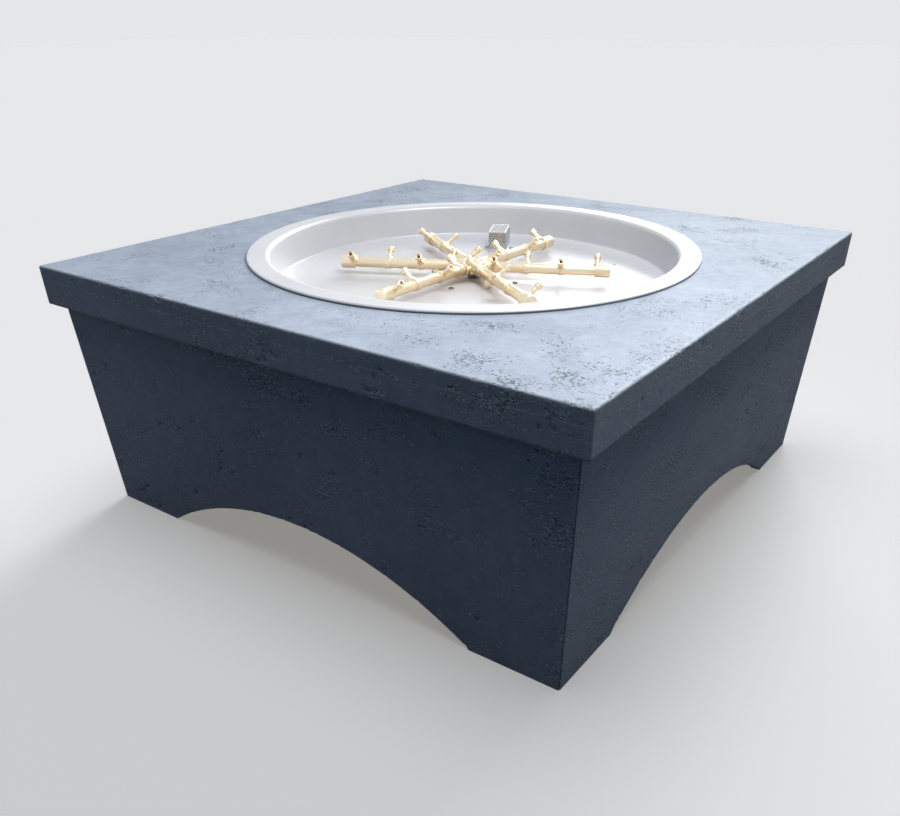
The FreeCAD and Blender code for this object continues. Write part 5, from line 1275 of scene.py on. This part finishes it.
def cage_lid(run, pitch, rise):
    """Top of the cage: staggered rows of holes along it, half cells at the ends of every other row, and a
    plain border out to the wall."""
    middles = []
    blanks = []
    for row in range(LID_ROWS):
        odd = row % 2
        x = (row + 0.5 - LID_ROWS / 2) * rise
        middles.append(spots((np.arange(LID_COLUMNS - odd) + 0.5 + 0.5 * odd - LID_COLUMNS / 2) * pitch, x))
        if odd:
            blanks += [(x, side * (LID_COLUMNS / 2 - 0.25) * pitch) for side in (-1, 1)]
    cell, hole = (flat[..., ::-1] for flat in cell_rings(np.concatenate(middles), (pitch, rise)))
    upper, lower = CAGE_HEIGHT, CAGE_HEIGHT - CAGE_SHEET
    rings = [raised(*ring) for ring in ((cell, upper), (hole, upper), (hole, lower), (cell, lower))]
    patches = [grid(np.stack(rings, axis=1), around=True)]
    step = np.linspace(-0.5, 0.5, 3)
    square = spots(*np.meshgrid(step * rise, step * pitch / 2))
    wide = LID_ROWS * rise / 2
    long = LID_COLUMNS * pitch / 2
    up = np.arange(4 * LID_COLUMNS) * pitch / 4 - long
    over = np.arange(2 * LID_ROWS) * rise / 2 - wide
    border = np.concatenate((spots(wide, up), spots(-over, long), spots(-wide, -up), spots(over, -long)))
    for inset, level in ((0.0, upper), (CAGE_SHEET, lower)):
        patches += [grid(raised(square + blank, level)) for blank in np.array(blanks)]
        patches.append(zipped(raised(cage_wall(run, inset)[0], level), raised(border, level)))
    return patches


def cage():
    """Perforated cage over the pilot, sooty inside, with painted shade there too."""
    patches, run, pitch, rise = cage_side()
    patches += cage_lid(run, pitch, rise)
    middle = np.array((*(CAGE_CIRCLE * way_at(CAGE_ANGLE)), PAN_FLOOR))
    patches = [turned(patch, CAGE_TURN) for patch in patches]
    patches = [(points + middle, faces) for points, faces in patches]

    # Soot and painted shade: the inner skin is darkened by its depth behind the outer skin.
    def inside(points):
        own = turned((points - middle, None), -CAGE_TURN)[0]
        walls = (CAGE_HALF - abs(own[:, :2])).min(axis=1)
        return np.minimum(CAGE_HEIGHT - own[:, 2], walls) / CAGE_SHEET

    darkened(piece("perforated_cage", patches, "pilot_cage", CAGE_SHARP), inside)


# ---- hose

HOSE_SHARP = 60.0
SPLINE_STEPS = 40


def spline_points(route):
    """Points along the smooth curve that has the route as its control points."""
    curve = bpy.data.curves.new("route", "CURVE")
    curve.dimensions = "3D"
    curve.resolution_u = SPLINE_STEPS
    spline = curve.splines.new("NURBS")
    spline.points.add(len(route) - 1)
    for point, place in zip(spline.points, route):
        point.co = (*place, 1.0)
    spline.order_u = 3
    spline.use_endpoint_u = True
    holder = bpy.data.objects.new("route", curve)
    mesh = bpy.data.meshes.new_from_object(holder)
    points = read(mesh.vertices, "co")
    bpy.data.objects.remove(holder)
    bpy.data.meshes.remove(mesh)
    bpy.data.curves.remove(curve)
    return points


def hose():
    """Corrugated hose: rings of a radius that swells and narrows along the route, closed at both ends."""
    route = [np.array((0.0, HOSE_START_Y, HOSE_Z))]
    for index, run in enumerate(HOSE_RUNS):
        route.append(route[-1] - np.array((0, *way_at(HOSE_STEP * index))) * run)
    points = spline_points(route)
    steps = run_along(points)
    even = np.linspace(0, steps[-1], HOSE_RINGS)
    line = picked(even, steps, points)
    tangent = np.gradient(line, axis=0)
    tangent /= np.linalg.norm(tangent, axis=1)[:, None]
    up = np.cross(X_WAY, tangent)[:, None]
    turn = full_turn(HOSE_STATIONS)[:, None]
    swell = HOSE_RADIUS - HOSE_CUT * (0.5 - 0.5 * np.cos(2 * np.pi * even / HOSE_PITCH)) ** 0.7
    skin = line[:, None] + (np.cos(turn) * X_WAY + np.sin(turn) * up) * swell[:, None, None]
    start, end = (np.repeat(line[[row], None], HOSE_STATIONS, axis=1) for row in (0, -1))
    piece("corrugated_hose", [grid(np.concatenate((start, skin, end)), around=True)], "gas_hose", HOSE_SHARP)


# ---- build

# How wide each machined node's edges are broken.
MACHINED = {
    "corner_angles": 0.5, "corner_angle_screws": 0.2, "slab_cleats": 0.5, "slab_cleat_screws": 0.2,
    "riser_washers": 0.2, "riser_elbow": 0.6, "air_mixer_body": 0.5, "hose_nuts": 0.5,
    "safety_valve_body": 1.2, "valve_nipple": 0.3, "shutoff_valve_body": 0.6, "control_bracket": 0.5,
    "bracket_bolts": 0.4, "bracket_nuts": 0.4, "igniter_body": 0.5, "igniter_nut": 0.4,
    "igniter_battery": 0.5, "pilot_base": 0.2, "pilot_burner": 0.3, "spark_electrode": 0.3,
    "flame_sensor": 0.3, "ear_screws": 0.2, "valve_spindle": 0.3, "valve_knob": 0.8, "shutoff_stem": 0.3,
    "shutoff_lever": 0.6, "lever_sleeve": 1.0, "lever_nut": 0.3, "air_shutter": 0.3, "spark_button": 0.6,
}

cast_top()
for node, width in MACHINED.items():
    shape = machined(node, width, "finished_" + node)
    if node == "bracket_bolts":
        darkened(shape, lambda points: BOLT_SOOT * (points[:, 2] > PAN_FLOOR))
for order, side in enumerate(("front", "right", "back", "left")):
    cast_panel("cast_" + side + "_panel", 90 * order, PANEL_SEED + order)
spun_pan()
burner()
riser_nuts()
cage()
hose()

for node, shape in frame["nodes"].items():
    if not shape.hide_render:
        shape.data.materials.clear()
        shape.data.materials.append(FINISHES[SLOT_OF[node]])

# ---- camera, floor and light

CAMERA_PLACE = Vector((1.0841, -1.5504, 0.9729))
CAMERA_AZIMUTH = 35.35
CAMERA_ELEVATION = 23.47
CAMERA_ROLL = -0.064
CAMERA_LENS = 36.65
CAMERA_SHIFT = -0.0197
CAMERA_SENSOR = 36.0
CAMERA_SIGHT = 200

FLOOR_REACH = 30.0
FLOOR_SEEN = (0.85, 0.85, 0.85)
FLOOR_GLOW = (0.264, 0.255, 0.237)
FLOOR_BOUNCE = (0.038, 0.053, 0.077)
WORLD_SEEN = (0.79, 0.80, 0.815)
WORLD_FILL = (0.032, 0.046, 0.072)
WORLD_ABOVE = (2.5, 2.56, 2.65)
ABOVE_FROM = 0.865
ABOVE_FULL = 0.99

GLOBE_POWER = 44.0
GLOBE_RADIUS = 0.35
GLOBE_PLACE = (0.66, -0.12, 1.65)
SHEEN_POWER = 2.2
SHEEN_ANGLE = 34.0
SHEEN_WAY = (-0.2, 1.0, 0.38)


def add_camera():
    """Camera that looks down at the table past its front right corner."""
    turns = ((CAMERA_AZIMUTH, "Z"), (90.0 - CAMERA_ELEVATION, "X"), (CAMERA_ROLL, "Z"))
    azimuth, tip, roll = (Matrix.Rotation(math.radians(angle), 4, axis) for angle, axis in turns)
    data = bpy.data.cameras.new("camera")
    data.lens = CAMERA_LENS
    data.sensor_width = CAMERA_SENSOR
    data.shift_x = CAMERA_SHIFT
    data.clip_end = CAMERA_SIGHT
    camera = placed("camera", data)
    camera.matrix_world = Matrix.Translation(CAMERA_PLACE) @ azimuth @ tip @ roll
    bpy.context.scene.camera = camera


def add_floor():
    """Wide pale floor that gives back little light, so that the table's sides stay dark."""
    mesh = bpy.data.meshes.new("floor")
    corners = ((-1, -1, 0), (1, -1, 0), (1, 1, 0), (-1, 1, 0))
    mesh.from_pydata(np.array(corners) * FLOOR_REACH, [], [(0, 1, 2, 3)])
    floor = placed("floor", mesh)
    f = finish("floor")
    lit, dim = (f.node("ShaderNodeBsdfDiffuse", None, {"Color": c}) for c in (FLOOR_SEEN, FLOOR_BOUNCE))
    glow = f.node("ShaderNodeEmission", None, {"Color": FLOOR_GLOW})
    seen = f.node("ShaderNodeAddShader", None, {0: lit, 1: glow})
    f.node("ShaderNodeOutputMaterial", None, {"Surface": f.seen_mix(seen, dim)})
    mesh.materials.append(f.owner)
    return floor


def add_world():
    """Pale surround to the camera and to mirrors; for everything else a low even fill, and a broad soft
    light that grows towards straight above."""
    world = bpy.data.worlds.new("surround")
    bpy.context.scene.world = world
    w = Shader(world)
    rise = w.part(w.place.out("Generated")).step(ABOVE_FROM, ABOVE_FULL)
    seen, fill = (w.node("ShaderNodeBackground", None, {"Color": c}) for c in (WORLD_SEEN, WORLD_FILL))
    above = w.node("ShaderNodeBackground", None, {"Color": WORLD_ABOVE, "Strength": rise})
    other = w.node("ShaderNodeAddShader", None, {0: fill, 1: above})
    w.node("ShaderNodeOutputWorld", None, {"Surface": w.seen_mix(seen, other)})


def add_lamps(floor):
    """Soft globe near the table, unseen itself, that spares the floor its light, and a broad distant lamp
    low behind."""
    data = bpy.data.lights.new("globe", "POINT")
    data.energy = GLOBE_POWER
    data.shadow_soft_size = GLOBE_RADIUS
    globe = placed("globe", data)
    globe.location = GLOBE_PLACE
    globe.visible_camera = False
    unlit = bpy.data.collections.new("globe_spares")
    unlit.objects.link(floor)
    unlit.collection_objects[0].light_linking.link_state = "EXCLUDE"
    globe.light_linking.receiver_collection = unlit
    data = bpy.data.lights.new("sheen", "SUN")
    data.energy = SHEEN_POWER
    data.angle = math.radians(SHEEN_ANGLE)
    sheen = placed("sheen", data)
    sheen.rotation_euler = Vector(SHEEN_WAY).to_track_quat("Z", "Y").to_euler()


add_camera()
floor = add_floor()
add_world()
add_lamps(floor)
bpy.context.scene.view_settings.view_transform = "Standard"
